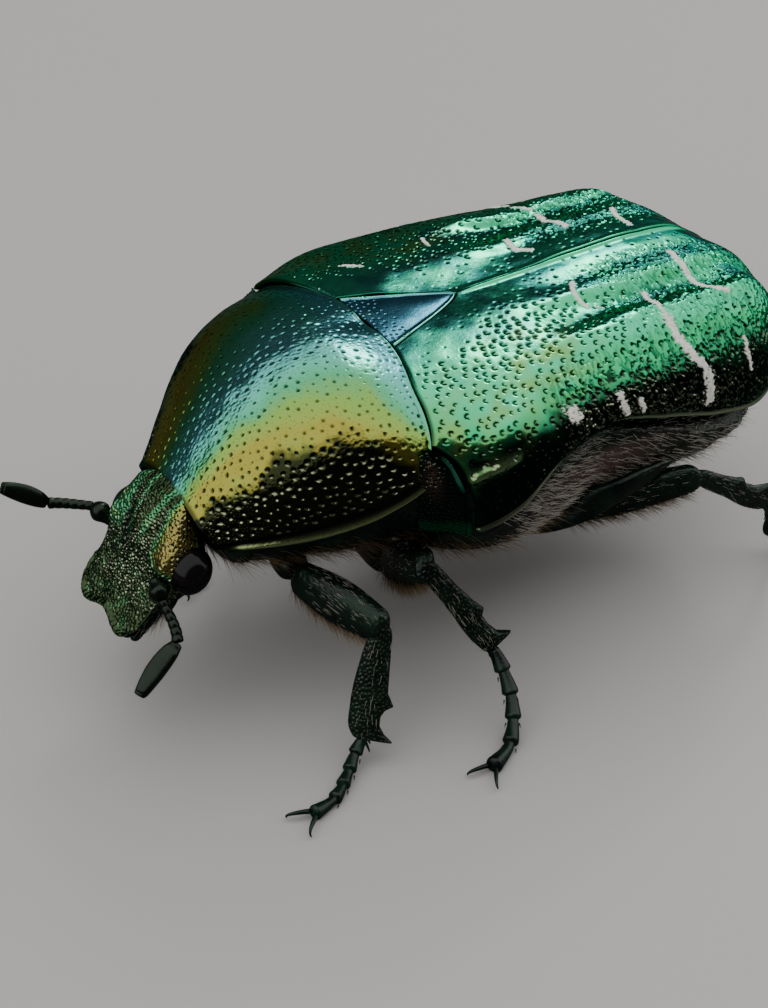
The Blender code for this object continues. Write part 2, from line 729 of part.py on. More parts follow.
def build_tarsus(name, points):
    """Five joints that widen towards their ends, two claws, and a flat where it stands."""
    path = spline_path(points, 16)
    share = np.linspace(0, 5, 16)
    swell = 0.78 + 0.34 * (share % 1)
    swell[-1] = 0.9
    radii = TARSUS_RADIUS * swell
    rings = limb_rings(path, radii, radii, (0.1, 0.1, 1), TARSUS_SIDES)
    tarsus = add_object(name, loft(rings), "cuticle_dark")
    tip = Vector(path[-1])
    heading = (tip - Vector(path[-2])).normalized()
    heading.z = 0
    across = Vector((-heading.y, heading.x, 0))
    claws = []
    for turn in (-1, 1):
        root = tip - heading * 0.15 + across * (turn * 0.08)
        reach = heading * 0.85 + across * (turn * 0.45)
        end = tip + reach * CLAW_LENGTH - Vector((0, 0, 0.16))
        claws.append(spine(root, end, 0.13, 0.05, bend=across * (turn * 0.08) + Vector((0, 0, 0.1))))
    fuse(tarsus, claws)
    level_off(tarsus)
    return tarsus


def level_off(obj):
    """Cuts obj flat at floor level."""
    bm = bmesh.new()
    bm.from_mesh(obj.data)
    cut = bmesh.ops.bisect_plane(
        bm,
        geom=list(bm.verts) + list(bm.edges) + list(bm.faces),
        dist=1e-4,
        plane_co=(0, 0, -BACK_HEIGHT),
        plane_no=(0, 0, -1),
        clear_outer=True,
    )
    rim = [e for e in cut["geom_cut"] if isinstance(e, bmesh.types.BMEdge) and e.is_boundary]
    bmesh.ops.holes_fill(bm, edges=rim, sides=0)
    bmesh.ops.recalc_face_normals(bm, faces=bm.faces)
    bmesh.ops.triangulate(bm, faces=bm.faces)
    bm.to_mesh(obj.data)
    bm.free()


def build_legs():
    for (pair, side), (hip, knee, ankle, tarsus) in POSES.items():
        word = "left" if side > 0 else "right"

        def place(point):
            return Vector((side * point[0], point[1], point[2]))

        broad_side = (side * BROAD_SIDE[pair][0], *BROAD_SIDE[pair][1:])
        inner, middle, outer, half_width, half_depth = COXAE[pair]
        path = spline_path([place(inner), place(middle), place(outer)], 9)
        blunt = np.array(BLUNT_ENDS)
        rings = limb_rings(path, half_width * blunt, half_depth * blunt, (0, 1, 0.1), SEGMENT_SIDES)
        add_object(f"coxa_{pair}_{word}", loft(rings), "cuticle_dark")
        femur = segment(place(hip), place(knee), FEMUR_WIDTHS[pair], 0.65, (0, 0.3, 1))
        add_object(f"femur_{pair}_{word}", femur, "cuticle_dark")
        start, end = trimmed(place(knee), place(ankle), KNEE_CLEARANCE, ANKLE_CLEARANCE)
        build_tibia(f"tibia_{pair}_{word}", pair, start, end, broad_side)
        build_tarsus(f"tarsus_{pair}_{word}", [place(point) for point in tarsus])


# ---------------------------------------------------------------- standing on the floor
def stand_up():
    """Moves everything onto the floor, centres it on the origin and turns millimetres into metres."""
    objects = [obj for obj in bpy.context.scene.objects if obj.type == "MESH"]
    points = np.array([vert.co for obj in objects for vert in obj.data.vertices])
    low, high = points.min(axis=0), points.max(axis=0)
    shift = Vector((-(low[0] + high[0]) / 2, -(low[1] + high[1]) / 2, BACK_HEIGHT))
    for obj in objects:
        obj.data.transform(Matrix.Scale(MM, 4) @ Matrix.Translation(shift))
        obj.data.update()


def main():
    clear_scene()
    build_back()
    build_trunk()
    build_head()
    build_legs()
    stand_up()


if __name__ == "__main__":
    main()
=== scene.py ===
"""Rose chafer (Cetonia aurata), life size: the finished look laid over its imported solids.

Shapes are worked out in millimetres in the beetle's own frame, which to_world() turns into metres: x to its
left, y towards its tail and z up, from the middle of the pronotum's hind edge, on the back.
"""

import math

import bpy
import numpy as np
from mathutils import Matrix, Vector


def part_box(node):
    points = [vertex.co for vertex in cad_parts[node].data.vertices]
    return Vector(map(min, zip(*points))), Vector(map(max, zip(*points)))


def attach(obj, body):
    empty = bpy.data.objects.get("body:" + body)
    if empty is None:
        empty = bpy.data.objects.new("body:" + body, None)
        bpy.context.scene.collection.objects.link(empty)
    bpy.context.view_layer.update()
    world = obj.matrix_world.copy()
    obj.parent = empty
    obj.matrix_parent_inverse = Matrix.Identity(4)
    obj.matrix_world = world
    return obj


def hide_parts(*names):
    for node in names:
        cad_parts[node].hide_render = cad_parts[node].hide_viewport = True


bl_info = {
    "name": "Rose Chafer",
    "version": (1, 0, 0),
    "blender": (4, 5, 0),
    "location": "View3D > Sidebar > Rose Chafer",
    "description": "Builds the shells, legs, head and hair of a life-size rose chafer",
    "category": "Add Mesh",
}

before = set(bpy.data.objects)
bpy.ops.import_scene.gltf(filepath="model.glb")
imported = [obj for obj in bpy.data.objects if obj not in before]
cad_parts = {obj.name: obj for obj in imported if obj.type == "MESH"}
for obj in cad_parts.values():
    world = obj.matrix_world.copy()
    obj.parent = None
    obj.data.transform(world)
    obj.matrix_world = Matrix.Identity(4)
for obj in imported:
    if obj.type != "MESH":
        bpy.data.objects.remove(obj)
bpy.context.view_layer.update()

MM = 0.001
BODY = "root"
SIDES = ((1, "left"), (-1, "right"))
BACK_HEIGHT = 9.0  # from the floor to the pronotum's hind edge on the midline
PRONOTUM_REACH = 5.40  # from that edge to the pronotum's front

LOW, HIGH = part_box("pronotum")
ORIGIN = np.array([(LOW.x + HIGH.x) / 2, LOW.y + PRONOTUM_REACH * MM, BACK_HEIGHT * MM])

# ---------------------------------------------------------------- sizes, most of them as in the solids
SQUARENESS = 2.6  # of the wing cases' cross-section: 2 is an ellipse, more is boxier
PRONOTUM_SQUARENESS = 2.25
SEAM = 0.035  # between shells that touch

# Points across and along each shell's grid.
PRONOTUM_GRID = (430, 215)
WING_CASE_GRID = (236, 402)
SCUTELLUM_GRID = (120, 150)
HEAD_GRID = (460, 205)
MESEPIMERON_GRID = (100, 170)
PYGIDIUM_GRID = (190, 100)

# Heights and depths of the shells' fine forms.
PIT_DEPTH, SIDE_PIT_DEPTH = 0.018, 0.022  # on the pronotum's middle, and what its coarsely pitted sides add, which get painted shade
MARGIN_BEAD, HIND_BEAD, FRONT_BEAD = 0.055, 0.030, 0.02  # raised rims round the pronotum
MARGIN_GUTTER = 0.03  # along the inside of its side rims
DIMPLE_DEPTH, WRINKLE_DEPTH = 0.020, 0.040  # on the wing cases
WING_BEAD, WING_GUTTER = 0.060, 0.030
ARC_HEIGHT, FOLD_DEPTH = 0.120, 0.035  # of the ridge and the fold on the wing cases' shoulders
SCALE_HEIGHT = 0.014  # of the white marks
FACE_PIT_DEPTH = 0.030
RIM_HEIGHT = 0.075  # of the clypeus edge

# Borders turned under, ring by ring: how deep below the surface, and how far in.
PRONOTUM_LIP = ((0.05, 0.0), (0.12, 0.06), (0.12, 0.25), (0.12, 0.7))
WING_CASE_LIP = ((0.03, 0.0), (0.05, 0.06), (0.05, 0.25), (0.05, 0.7))
SCUTELLUM_LIP = ((0.04, 0.0), (0.3, 0.05))
PLATE_LIP = ((0.04, 0.0), (0.06, 0.2), (0.06, 0.6))

SCUTELLUM_LENGTH = 2.75
SCUTELLUM_HALF_WIDTH = 1.35

# Wing cases: y, crest height, greatest half-width and its height, half-width and height of the side margin.
WING_CASE_STATIONS = (
    (-0.8, 0.00, 4.50, -1.75, 4.45, -3.45),
    (0.2, 0.02, 5.00, -1.70, 4.95, -3.40),
    (1.3, 0.06, 5.20, -1.65, 5.05, -3.10),
    (2.8, 0.10, 5.05, -1.55, 4.65, -2.38),
    (4.3, 0.13, 4.85, -1.45, 4.35, -1.98),
    (6.5, 0.15, 4.75, -1.70, 4.40, -2.45),
    (8.6, 0.14, 4.58, -2.00, 4.28, -3.15),
    (10.2, -0.18, 4.15, -2.35, 3.90, -3.55),
    (11.4, -1.20, 3.25, -2.75, 3.05, -3.75),
    (12.2, -2.60, 2.10, -3.30, 1.95, -3.85),
)
WING_CASE_FRONT = (  # share across from the crest, y of the front edge below the pronotum's hind corner
    (0.50, -1.30),
    (0.56, -0.95),
    (0.60, -0.74),
    (0.673, -0.48),
    (0.824, -0.12),
    (0.86, 0.00),
    (1.0, 0.18),
)
FRONT_CORNER = 0.56  # share across where the front edge leaves the pronotum
LAST_TURN = math.radians(50)  # how far a wing case's side turns under, down to the margin
WING_CASE_REAR = ((0.0, 12.05), (0.35, 12.2), (0.7, 12.1), (1.0, 11.6))  # share across, y of the hind edge
UPPER_SHARE = 0.8  # of the way across a wing case, from the crest to the widest line
REAR_PROFILE = (  # distance out from the seam, height of the ribs and hollows of its rear half
    (0.0, 0.0),
    (0.45, -0.01),
    (1.1, -0.06),
    (1.6, -0.03),
    (2.05, -0.15),
    (2.5, -0.13),
    (3.0, 0.09),
    (3.4, 0.10),
    (4.1, 0.0),
    (5.0, 0.0),
)
WING_CASE_FORMS = {  # by side: the valley's reach and depth, heights of broad forms, how dark a band of painted shade beside the seam is
    1: dict(reach=1.30, valley=0.045, shoulder=0.17, knob=0.24, tail=0.22, flat=0.0, shade_band=0.18),
    -1: dict(reach=1.90, valley=0.12, shoulder=0.03, knob=0.05, tail=0.0, flat=0.14, shade_band=0.0),
}

# Pronotum: share from front to back, crest height, half-width, height of the side margin.
PRONOTUM_STATIONS = (
    (0.0, -2.93, 1.76, -3.86),
    (0.2, -1.38, 2.52, -3.62),
    (0.45, -0.18, 3.35, -3.20),
    (0.7, 0.22, 4.00, -2.65),
    (0.9, 0.12, 4.30, -2.15),
    (1.0, 0.00, 4.36, -1.90),
)
PRONOTUM_FRONT = ((0.0, -5.60), (0.6, -5.56), (1.0, -5.34))  # share across, y
SHADED_PITTED_SIDE = (  # share from front to back, share across where the coarsely pitted side with painted shade starts
    (0.0, 0.53),
    (0.08, 0.46),
    (0.20, 0.58),
    (0.32, 0.48),
    (0.53, 0.54),
    (0.71, 0.61),
    (0.84, 0.70),
    (0.93, 0.88),
    (1.0, 1.05),
)
PRONOTUM_HIND = (  # x, y of the hind edge
    (0.0, 0.0),
    (1.2, 0.0),
    (2.0, -0.15),
    (2.7, -0.34),
    (3.5, -0.50),
    (4.05, -0.68),
    (4.36, -0.86),
)
GOLDEN_SIDE = (  # share from front to back, share across where the golden tone is full
    (0.0, 0.26),
    (0.27, 0.31),
    (0.44, 0.38),
    (0.625, 0.435),
    (0.785, 0.53),
    (0.93, 0.72),
    (1.0, 0.80),
)

# Head: the face runs from the vertex down to the notch of the clypeus.
VERTEX = np.array([0.0, -5.45, -2.85])
NOTCH = np.array([0.0, -7.57, -5.99])
HEAD_STATIONS = (  # distance down the face, half-width, height of the face, depth of the back of the head
    (0.0, 0.55, 0.05, 0.10),
    (0.25, 0.95, 0.20, 0.35),
    (0.8, 1.28, 0.30, 1.05),
    (1.4, 1.50, 0.28, 1.45),
    (2.0, 1.56, 0.12, 1.45),
    (2.5, 1.49, -0.02, 1.10),
    (3.0, 1.40, -0.08, 0.62),
    (3.5, 1.34, -0.08, 0.40),
    (4.0, 1.18, -0.12, 0.30),
)
FACE_END = ((0.0, 3.74), (0.12, 3.80), (0.3, 3.93), (0.55, 3.98), (0.8, 3.80), (1.0, 3.40))
EYE_CENTRE = (1.47, 1.58, -0.60)  # across, down the face, out of it
EYE_RADII = (0.56, 0.62, 0.52)
EYE_RIM_RADII = (0.52, 0.60)  # across and down the face
EYE_RIM_OUT = 0.22  # of the eye's centre

# The trunk under the shells: y, half-width, top and bottom heights.
PROTHORAX_STATIONS = (
    (-5.0, 1.20, -3.60, -4.55),
    (-4.7, 1.90, -3.30, -4.90),
    (-4.2, 2.15, -2.60, -5.10),
    (-3.0, 2.70, -1.35, -5.35),
    (-1.6, 3.20, -0.85, -5.50),
    (-0.40, 3.35, -0.90, -5.50),
)
THORAX_STATIONS = (
    (-0.42, 3.30, -1.00, -5.55),
    (0.6, 3.85, -0.95, -6.00),
    (1.6, 4.10, -0.90, -6.30),
    (3.0, 4.00, -0.85, -6.30),
    (4.5, 3.65, -0.80, -6.00),
)
ABDOMEN_STATIONS = (
    (4.4, 3.60, -0.80, -5.90),
    (6.5, 3.75, -0.75, -6.05),
    (8.6, 3.80, -0.80, -6.05),
    (10.2, 3.35, -1.40, -5.75),
    (11.3, 2.40, -2.60, -5.05),
)
STERNITE_EDGES = (5.4, 6.6, 7.8, 8.9, 9.9, 10.7)  # y of the steps between the belly plates
STERNITE_STEP = 0.12
FLANK_SWELL = 0.45  # of the trunk's sides where they come out below the wing cases
STERNAL_KNOB = ((0, 0.10, -5.95), (0.42, 0.60, 0.42))  # centre and radii of the knob between the middle legs

PYGIDIUM_STATIONS = (  # share from top to bottom, y, z, half-width
    (0.0, 11.55, -3.50, 2.05),
    (0.3, 12.00, -4.20, 1.80),
    (0.65, 11.98, -4.85, 1.30),
    (1.0, 11.60, -5.32, 0.60),
)
MESEPIMERON = (  # share from top to bottom, then x, y and z of its front and of its hind edge
    (0.0, 4.14, -1.02, -1.00, 4.22, -0.84, -0.98),
    (0.25, 4.26, -1.14, -1.50, 4.56, -0.50, -1.30),
    (0.5, 4.26, -1.20, -2.10, 4.80, -0.20, -2.00),
    (0.75, 4.22, -1.12, -2.75, 4.88, 0.00, -2.75),
    (1.0, 4.10, -0.90, -3.45, 4.84, 0.12, -3.52),
)

# Legs of each side, given for the left: points, half-widths and half-depths.
FRONT, MID, HIND = "front", "mid", "hind"
COXAE = {  # points from its inner to its outer end, half-width, half-depth
    FRONT: (((0.55, -2.75, -5.15), (1.2, -2.95, -5.32), (2.00, -3.12, -5.32)), 0.48, 0.42),
    MID: (((0.45, 0.00, -6.30), (1.2, -0.10, -6.35), (2.05, -0.30, -6.12)), 0.50, 0.40),
    HIND: (((0.30, 3.9, -6.10), (2.4, 3.8, -5.95), (4.02, 4.7, -4.72), (4.20, 7.15, -4.20)), 0.56, 0.30),
}
KNEE_OVERLAP = 0.13  # how far the femur and the tibia each run past the knee
COXA_POINT = {FRONT: 0.8, MID: 0.8, HIND: 0.35}  # share of its width that a coxa keeps at its outer end
COXA_TURN = {FRONT: (0, 1, 0.1), MID: (0, 1, 0.1), HIND: (0, -0.3, 1)}  # its broad side at the outer end
LEGS = {  # hip, knee, ankle, then the tarsus down to its claws, as they stand on each side
    (FRONT, 1): (
        (2.00, -3.20, -5.30),
        (4.72, -2.3, -5.50),
        (5.28, -3.14, -8.32),
        (
            (5.26, -3.10, -8.24),
            (5.40, -3.42, -8.52),
            (5.75, -3.88, -8.76),
            (6.25, -4.6, -8.84),
            (6.42, -5.3, -8.82),
        ),
    ),
    (FRONT, -1): (
        (2.00, -3.20, -5.30),
        (4.57, -2.5, -5.40),
        (4.77, -3.18, -8.32),
        (
            (4.76, -3.14, -8.24),
            (4.70, -3.48, -8.55),
            (4.35, -3.85, -8.78),
            (3.6, -4.05, -8.84),
            (2.85, -3.75, -8.82),
        ),
    ),
    (MID, 1): (
        (2.0, -0.35, -6.00),
        (4.02, -0.62, -4.72),
        (5.2, 0.79, -7.13),
        (
            (5.2, 0.79, -7.13),
            (5.45, 0.85, -7.45),
            (6.16, 0.79, -8.2),
            (6.95, 0.2, -8.80),
            (7.38, -0.65, -8.82),
        ),
    ),
    (MID, -1): (
        (2.0, -0.30, -6.05),
        (4.12, -0.52, -4.80),
        (5.4, 1.1, -7.20),
        ((5.4, 1.1, -7.20), (5.65, 1.15, -7.5), (6.4, 1.1, -8.3), (7.15, 0.7, -8.80), (7.6, -0.1, -8.82)),
    ),
    (HIND, 1): (
        (2.60, 4.75, -6.10),
        (4.50, 7.80, -4.80),
        (4.6, 10.4, -6.55),
        (
            (4.6, 10.4, -6.55),
            (4.62, 10.75, -7.0),
            (4.45, 11.05, -7.9),
            (4.55, 11.9, -8.78),
            (5.0, 13.6, -8.82),
        ),
    ),
    (HIND, -1): (
        (2.60, 4.75, -6.10),
        (4.55, 7.50, -4.85),
        (4.9, 10.0, -6.70),
        (
            (4.9, 10.0, -6.70),
            (4.95, 10.3, -7.05),
            (4.95, 10.75, -8.0),
            (5.1, 11.6, -8.78),
            (5.6, 13.2, -8.82),
        ),
    ),
}
FEMUR_WIDTHS = {FRONT: (0.42, 0.60, 0.42), MID: (0.45, 0.60, 0.42), HIND: (0.36, 0.50, 0.38)}
FEMUR_DEPTH = 0.62  # as a share of its width
FEMUR_SIDE = (0, 0.3, 1)  # where its broad side lies
BROAD_SIDE = {FRONT: (0.55, 0.83, 0.1), MID: (0.3, 0.9, 0.35), HIND: (0.15, 0.5, 0.85)}  # of the tibiae
TIBIA_GRID = (64, 170)  # points round it and along it
TIBIA_ENDS = (0.06, 0.03)  # shares of its length over which its ends are domed
TIBIA_OUTER = {  # share down the tibia, half-width on its outer side, with the teeth
    FRONT: (
        (0.0, 0.18),
        (0.10, 0.26),
        (0.40, 0.35),
        (0.58, 0.41),
        (0.67, 0.60),
        (0.72, 0.42),
        (0.79, 0.33),
        (0.87, 0.35),
        (0.93, 0.50),
        (0.975, 0.74),
        (1.0, 0.30),
    ),
    MID: (
        (0.0, 0.18),
        (0.10, 0.25),
        (0.35, 0.30),
        (0.55, 0.38),
        (0.65, 0.46),
        (0.70, 0.31),
        (0.80, 0.29),
        (0.90, 0.36),
        (0.96, 0.64),
        (1.0, 0.26),
    ),
    HIND: (
        (0.0, 0.17),
        (0.10, 0.25),
        (0.35, 0.29),
        (0.50, 0.36),
        (0.56, 0.44),
        (0.63, 0.30),
        (0.80, 0.33),
        (0.93, 0.60),
        (1.0, 0.26),
    ),
}
TIBIA_INNER = {  # share down the tibia, half-width on its inner side
    FRONT: ((0.0, 0.18), (0.10, 0.29), (0.40, 0.44), (0.75, 0.47), (0.92, 0.40), (1.0, 0.24)),
    MID: ((0.0, 0.17), (0.12, 0.23), (0.5, 0.27), (0.85, 0.30), (1.0, 0.22)),
    HIND: ((0.0, 0.17), (0.12, 0.23), (0.5, 0.28), (0.85, 0.34), (1.0, 0.26)),
}
TIBIA_DEPTH = {FRONT: 0.20, MID: 0.20, HIND: 0.21}
SPUR_LENGTH = {FRONT: 0.40, MID: 0.5, HIND: 0.7}
SPUR_LEAN = {FRONT: 0.32, MID: -0.16, HIND: -0.16}  # how far the spurs' tips lie towards the toothed side
TARSUS_RADIUS = {FRONT: 0.195, MID: 0.225, HIND: 0.195}
TARSUS_JOINTS = ((0, 24), (20, 45), (41, 66), (62, 88), (83, 120))  # first and last of 121 steps along it
CLAW_LENGTH = 0.70

ANTENNAE = {  # root, bend and end of the stalk, then root and tip of the club
    1: (
        (1.20, -6.71, -4.55),
        (1.77, -6.75, -4.87),
        (2.43, -6.74, -5.51),
        (2.53, -6.78, -5.61),
        (3.02, -8.12, -6.31),
    ),
    -1: (
        (1.35, -6.48, -4.65),
        (1.95, -6.75, -4.34),
        (2.47, -7.60, -4.32),
        (2.50, -7.72, -4.30),
        (3.0, -8.72, -3.75),
    ),
}
CLUB_FACE = np.array([0.55, -0.45, 0.70])  # where the clubs' flat sides face
CLUB_HALF_WIDTH = 0.235
CLUB_LEAF_STEP = 0.105  # from one leaf of a club to the next

# White marks of scales on the wing cases: along the back and out from the seam over the surface, half-width.
LEFT_MARKS = (
    (((5.61, 1.13), (5.36, 1.50), (5.30, 1.78), (5.36, 2.10)), 0.055),
    (((5.60, 2.18), (5.72, 2.32)), 0.025),
    (((7.10, 2.29), (6.97, 2.75), (6.91, 3.16)), 0.075),
    (((6.89, 3.38), (6.87, 3.83), (6.94, 4.27), (7.08, 4.68), (7.34, 4.95)), 0.115),
    (((7.43, 5.18), (7.54, 5.58), (7.64, 6.10)), 0.15),
    (((8.86, 1.13), (8.79, 1.66), (8.71, 2.22), (8.76, 2.63), (8.91, 2.97), (9.12, 3.14)), 0.085),
    (((9.01, 4.52), (8.99, 4.92), (9.16, 5.34)), 0.065),
    (((2.90, 5.10), (2.98, 5.26)), 0.16),
    (((4.46, 5.07), (4.53, 5.34), (4.72, 5.64)), 0.095),
    (((5.11, 5.34), (5.29, 5.76)), 0.07),
)
RIGHT_MARKS = (
    (((1.10, 1.93), (1.40, 1.71)), 0.07),
    (((3.63, 2.80), (3.53, 2.36)), 0.05),
    (((5.41, 1.45), (5.35, 0.98), (5.68, 0.70)), 0.075),
    (((7.24, 2.50), (7.11, 1.79), (7.26, 1.27)), 0.085),
    (((6.86, 3.12), (7.18, 2.80)), 0.06),
    (((6.90, 3.50), (6.96, 4.27), (7.12, 4.70), (7.40, 4.98)), 0.10),
    (((9.02, 1.50), (8.80, 0.80), (8.79, 0.42)), 0.07),
    (((9.03, 4.50), (9.02, 4.92), (9.18, 5.30)), 0.065),
    (((2.94, 5.12), (3.02, 5.24)), 0.14),
    (((4.50, 5.10), (4.58, 5.36), (4.74, 5.60)), 0.09),
)


def settings():
    """The sizes and colours on the scene's panel."""
    return bpy.context.scene.chafer_sizes, bpy.context.scene.chafer_colours


# ---------------------------------------------------------------- curves and surfaces
def smooth(knots, at):
    """A smooth curve through (place, value) knots, read at each place asked for."""
    places, values = np.array(knots, float).T
    slopes = np.gradient(values, places)
    at = np.clip(at, places[0], places[-1])
    i = np.clip(np.searchsorted(places, at) - 1, 0, len(places) - 2)
    width = places[i + 1] - places[i]
    t = (at - places[i]) / width
    return (
        (1 + 2 * t) * (1 - t) ** 2 * values[i]
        + t * (1 - t) ** 2 * width * slopes[i]
        + t**2 * (3 - 2 * t) * values[i + 1]
        + t**2 * (t - 1) * width * slopes[i + 1]
    )


def column(stations, index, at):
    """One column of a station table as a smooth curve of its first column."""
    return smooth([(row[0], row[index]) for row in stations], at)


def bump(distance, width):
    return np.exp(-((distance / width) ** 2))


def ease(value, low, high):
    """0 below low, 1 above high and smooth between."""
    t = np.clip((value - low) / (high - low), 0, 1)
    return t * t * (3 - 2 * t)


def unit(vectors):
    return vectors / np.maximum(np.linalg.norm(vectors, axis=-1, keepdims=True), 1e-9)


def ripple(points, length, seed, waves=16):
    """Smooth seeded noise of about -1 to 1, made of plane waves about `length` long."""
    rng = np.random.default_rng(seed)
    pace = unit(rng.normal(size=(waves, 3))) * (math.tau / length * rng.uniform(0.6, 1.6, (waves, 1)))
    phase = rng.uniform(0, math.tau, waves)
    return np.sin(points @ pace.T + phase).mean(-1) * math.sqrt(waves) * 0.8


def to_world(points):
    return np.asarray(points, float) * MM + ORIGIN


def sample(skin, across, along):
    """A block of points over a skin, its steps about equal in length along its middle row and column."""
    line = np.linspace(0, 1, 500)
    middle = np.full_like(line, 0.5)
    places = []
    for u, v, count in ((line, middle, across), (middle, line, along)):
        points = np.stack(skin(u, v), axis=-1)
        reach = np.concatenate([[0], np.cumsum(np.linalg.norm(np.diff(points, axis=0), axis=1))])
        places.append(np.interp(np.linspace(0, reach[-1], count), reach, line))
    u, v = np.meshgrid(*places)
    return u, v, np.stack(skin(u, v), axis=-1)


def grid_normals(points, closed=False):
    """Unit normals over a block of points, pointing away from its middle."""
    if closed:
        wrapped = np.concatenate([points[:, -2:-1], points, points[:, 1:2]], axis=1)
        across = np.gradient(wrapped, axis=1)[:, 1:-1]
    else:
        across = np.gradient(points, axis=1)
    normals = unit(np.cross(across, np.gradient(points, axis=0)))
    outward = (normals * (points - points.mean(axis=(0, 1)))).sum()
    return normals if outward > 0 else -normals


def arc_lengths(points):
    """How far each point lies from the first of its row, over the surface."""
    steps = np.linalg.norm(np.diff(points, axis=1), axis=2)
    return np.concatenate([np.zeros((len(points), 1)), np.cumsum(steps, axis=1)], axis=1)


def stroke_distance(places, stroke):
    """Distance in the plane from each place to a line through a few points."""
    nearest = np.full(places.shape[:-1], np.inf)
    for start, end in zip(stroke, stroke[1:]):
        start, end = np.array(start), np.array(end)
        share = np.clip((places - start) @ (end - start) / ((end - start) @ (end - start)), 0, 1)
        away = np.linalg.norm(places - start - share[..., None] * (end - start), axis=-1)
        nearest = np.minimum(nearest, away)
    return nearest


def cell_areas(points):
    """How much of the surface each place of a block of points stands for."""
    return np.linalg.norm(np.cross(np.gradient(points, axis=0), np.gradient(points, axis=1)), axis=-1)


def scatter(points, spacing, count, seed, chance=None):
    """Seeded grid places at least `spacing` apart. spacing and chance are blocks or numbers."""
    rng = np.random.default_rng(seed)
    cells = cell_areas(points)
    weight = cells * (1 if chance is None else chance)
    spacing = np.broadcast_to(spacing, cells.shape)
    weight = weight / spacing**2
    tries = rng.choice(cells.size, size=count, replace=True, p=(weight / weight.sum()).ravel())
    box = float(spacing.max())
    kept, near = [], {}
    for place in tries:
        i, j = divmod(int(place), cells.shape[1])
        spot = points[i, j]
        home = tuple((spot // box).astype(int))
        clear = True
        for dx in (-1, 0, 1):
            for dy in (-1, 0, 1):
                for dz in (-1, 0, 1):
                    for other in near.get((home[0] + dx, home[1] + dy, home[2] + dz), ()):
                        gap = spot - other
                        if gap @ gap < spacing[i, j] ** 2:
                            clear = False
        if clear:
            near.setdefault(home, []).append(spot)
            kept.append((i, j))
    return kept


MARK_STEPS = 40  # most steps of the grid that a mark may reach


def stamp(points, places, radii, shape):
    """Presses a mark at each place. shape takes the offsets ahead and aside as shares of its radius."""
    pressed = np.zeros(points.shape[:2])
    steps = [np.linalg.norm(np.gradient(points, axis=k), axis=-1) for k in (0, 1)]
    for k, ((i, j), radius) in enumerate(zip(places, radii)):
        reach = [int(min(MARK_STEPS, math.ceil(1.25 * radius / max(step[i, j], 1e-4)))) for step in steps]
        rows = slice(max(i - reach[0], 0), i + reach[0] + 1)
        columns = slice(max(j - reach[1], 0), j + reach[1] + 1)
        offset = points[rows, columns] - points[i, j]
        ahead = unit(points[min(i + 1, len(points) - 1), j] - points[i - 1, j])
        aside = points[i, min(j + 1, points.shape[1] - 1)] - points[i, j - 1]
        aside = unit(aside - ahead * (aside @ ahead))
        mark = shape(offset @ ahead / radius, offset @ aside / radius, k)
        pressed[rows, columns] = np.maximum(pressed[rows, columns], mark)
    return pressed


def round_pit(ahead, aside, k):
    """A dished pit with a crisp edge."""
    distance = np.hypot(ahead, aside)
    return (1 - distance**2).clip(0) ** 0.6


def long_pit(ahead, aside, k):
    """A pit drawn out along the limb."""
    distance = np.hypot(ahead, aside * 2.0)
    return (1 - distance**2).clip(0) ** 0.7


def long_pit_across(ahead, aside, k):
    """A pit drawn out across the face."""
    distance = np.hypot(ahead * 1.5, aside)
    return (1 - distance**2).clip(0) ** 0.7


def horseshoe(ahead, aside, k):
    """A groove round a little tongue, open towards the side and the tail."""
    distance = np.hypot(ahead, aside)
    turn = np.arctan2(aside, ahead) - 0.4 + 0.6 * math.sin(k * 2.4)
    closed_side = ease(-np.cos(turn), -0.70, -0.25)
    return bump(distance - 0.62, 0.27) * closed_side * (distance < 1.3)


def face_point(x, down, out):
    """A point of the head, from how far it lies across, down the face and out of it."""
    along = unit(NOTCH - VERTEX)
    normal = np.array([0.0, along[2], -along[1]])
    if normal[1] > 0:
        normal = -normal
    x, down, out = np.broadcast_arrays(x, down, out)
    return VERTEX + x[..., None] * np.array([1.0, 0, 0]) + down[..., None] * along + out[..., None] * normal


def spline_path(knots, count):
    """Points spread evenly along a smooth path through a few given points."""
    knots = np.array(knots, float)
    reach = np.concatenate([[0], np.cumsum(np.linalg.norm(np.diff(knots, axis=0), axis=1))])
    at = np.linspace(0, reach[-1], count)
    return np.stack([smooth(np.stack([reach, knots[:, k]], axis=1), at) for k in range(3)], axis=1)


def tube_block(path, half_widths, half_depths, broad_side, around, squareness=2.0):
    """A block of points round a path: the width lies along broad_side, the depth across it."""
    heading = unit(np.gradient(path, axis=0))
    side = np.broadcast_to(np.array(broad_side, float), path.shape)
    side = unit(side - heading * (side * heading).sum(-1, keepdims=True))
    depth = np.cross(heading, side)
    turn = np.linspace(0, math.tau, around)
    power = 2 / squareness
    cos = np.sign(np.cos(turn)) * np.abs(np.cos(turn)) ** power
    sin = np.sign(np.sin(turn)) * np.abs(np.sin(turn)) ** power
    return (
        path[:, None]
        + side[:, None] * (np.asarray(half_widths)[:, None] * cos)[..., None]
        + depth[:, None] * (np.asarray(half_depths)[:, None] * sin)[..., None]
    )


def fullness(share, start, end):
    """How full a tube is at shares of its length, so that both ends close as domes."""
    first = np.sqrt(1 - (1 - np.clip(share / start, 0, 1)) ** 2)
    last = np.sqrt(1 - (1 - np.clip((1 - share) / end, 0, 1)) ** 2)
    return first * last


def round_ends(count, start, end):
    return fullness(np.linspace(0, 1, count), start, end)


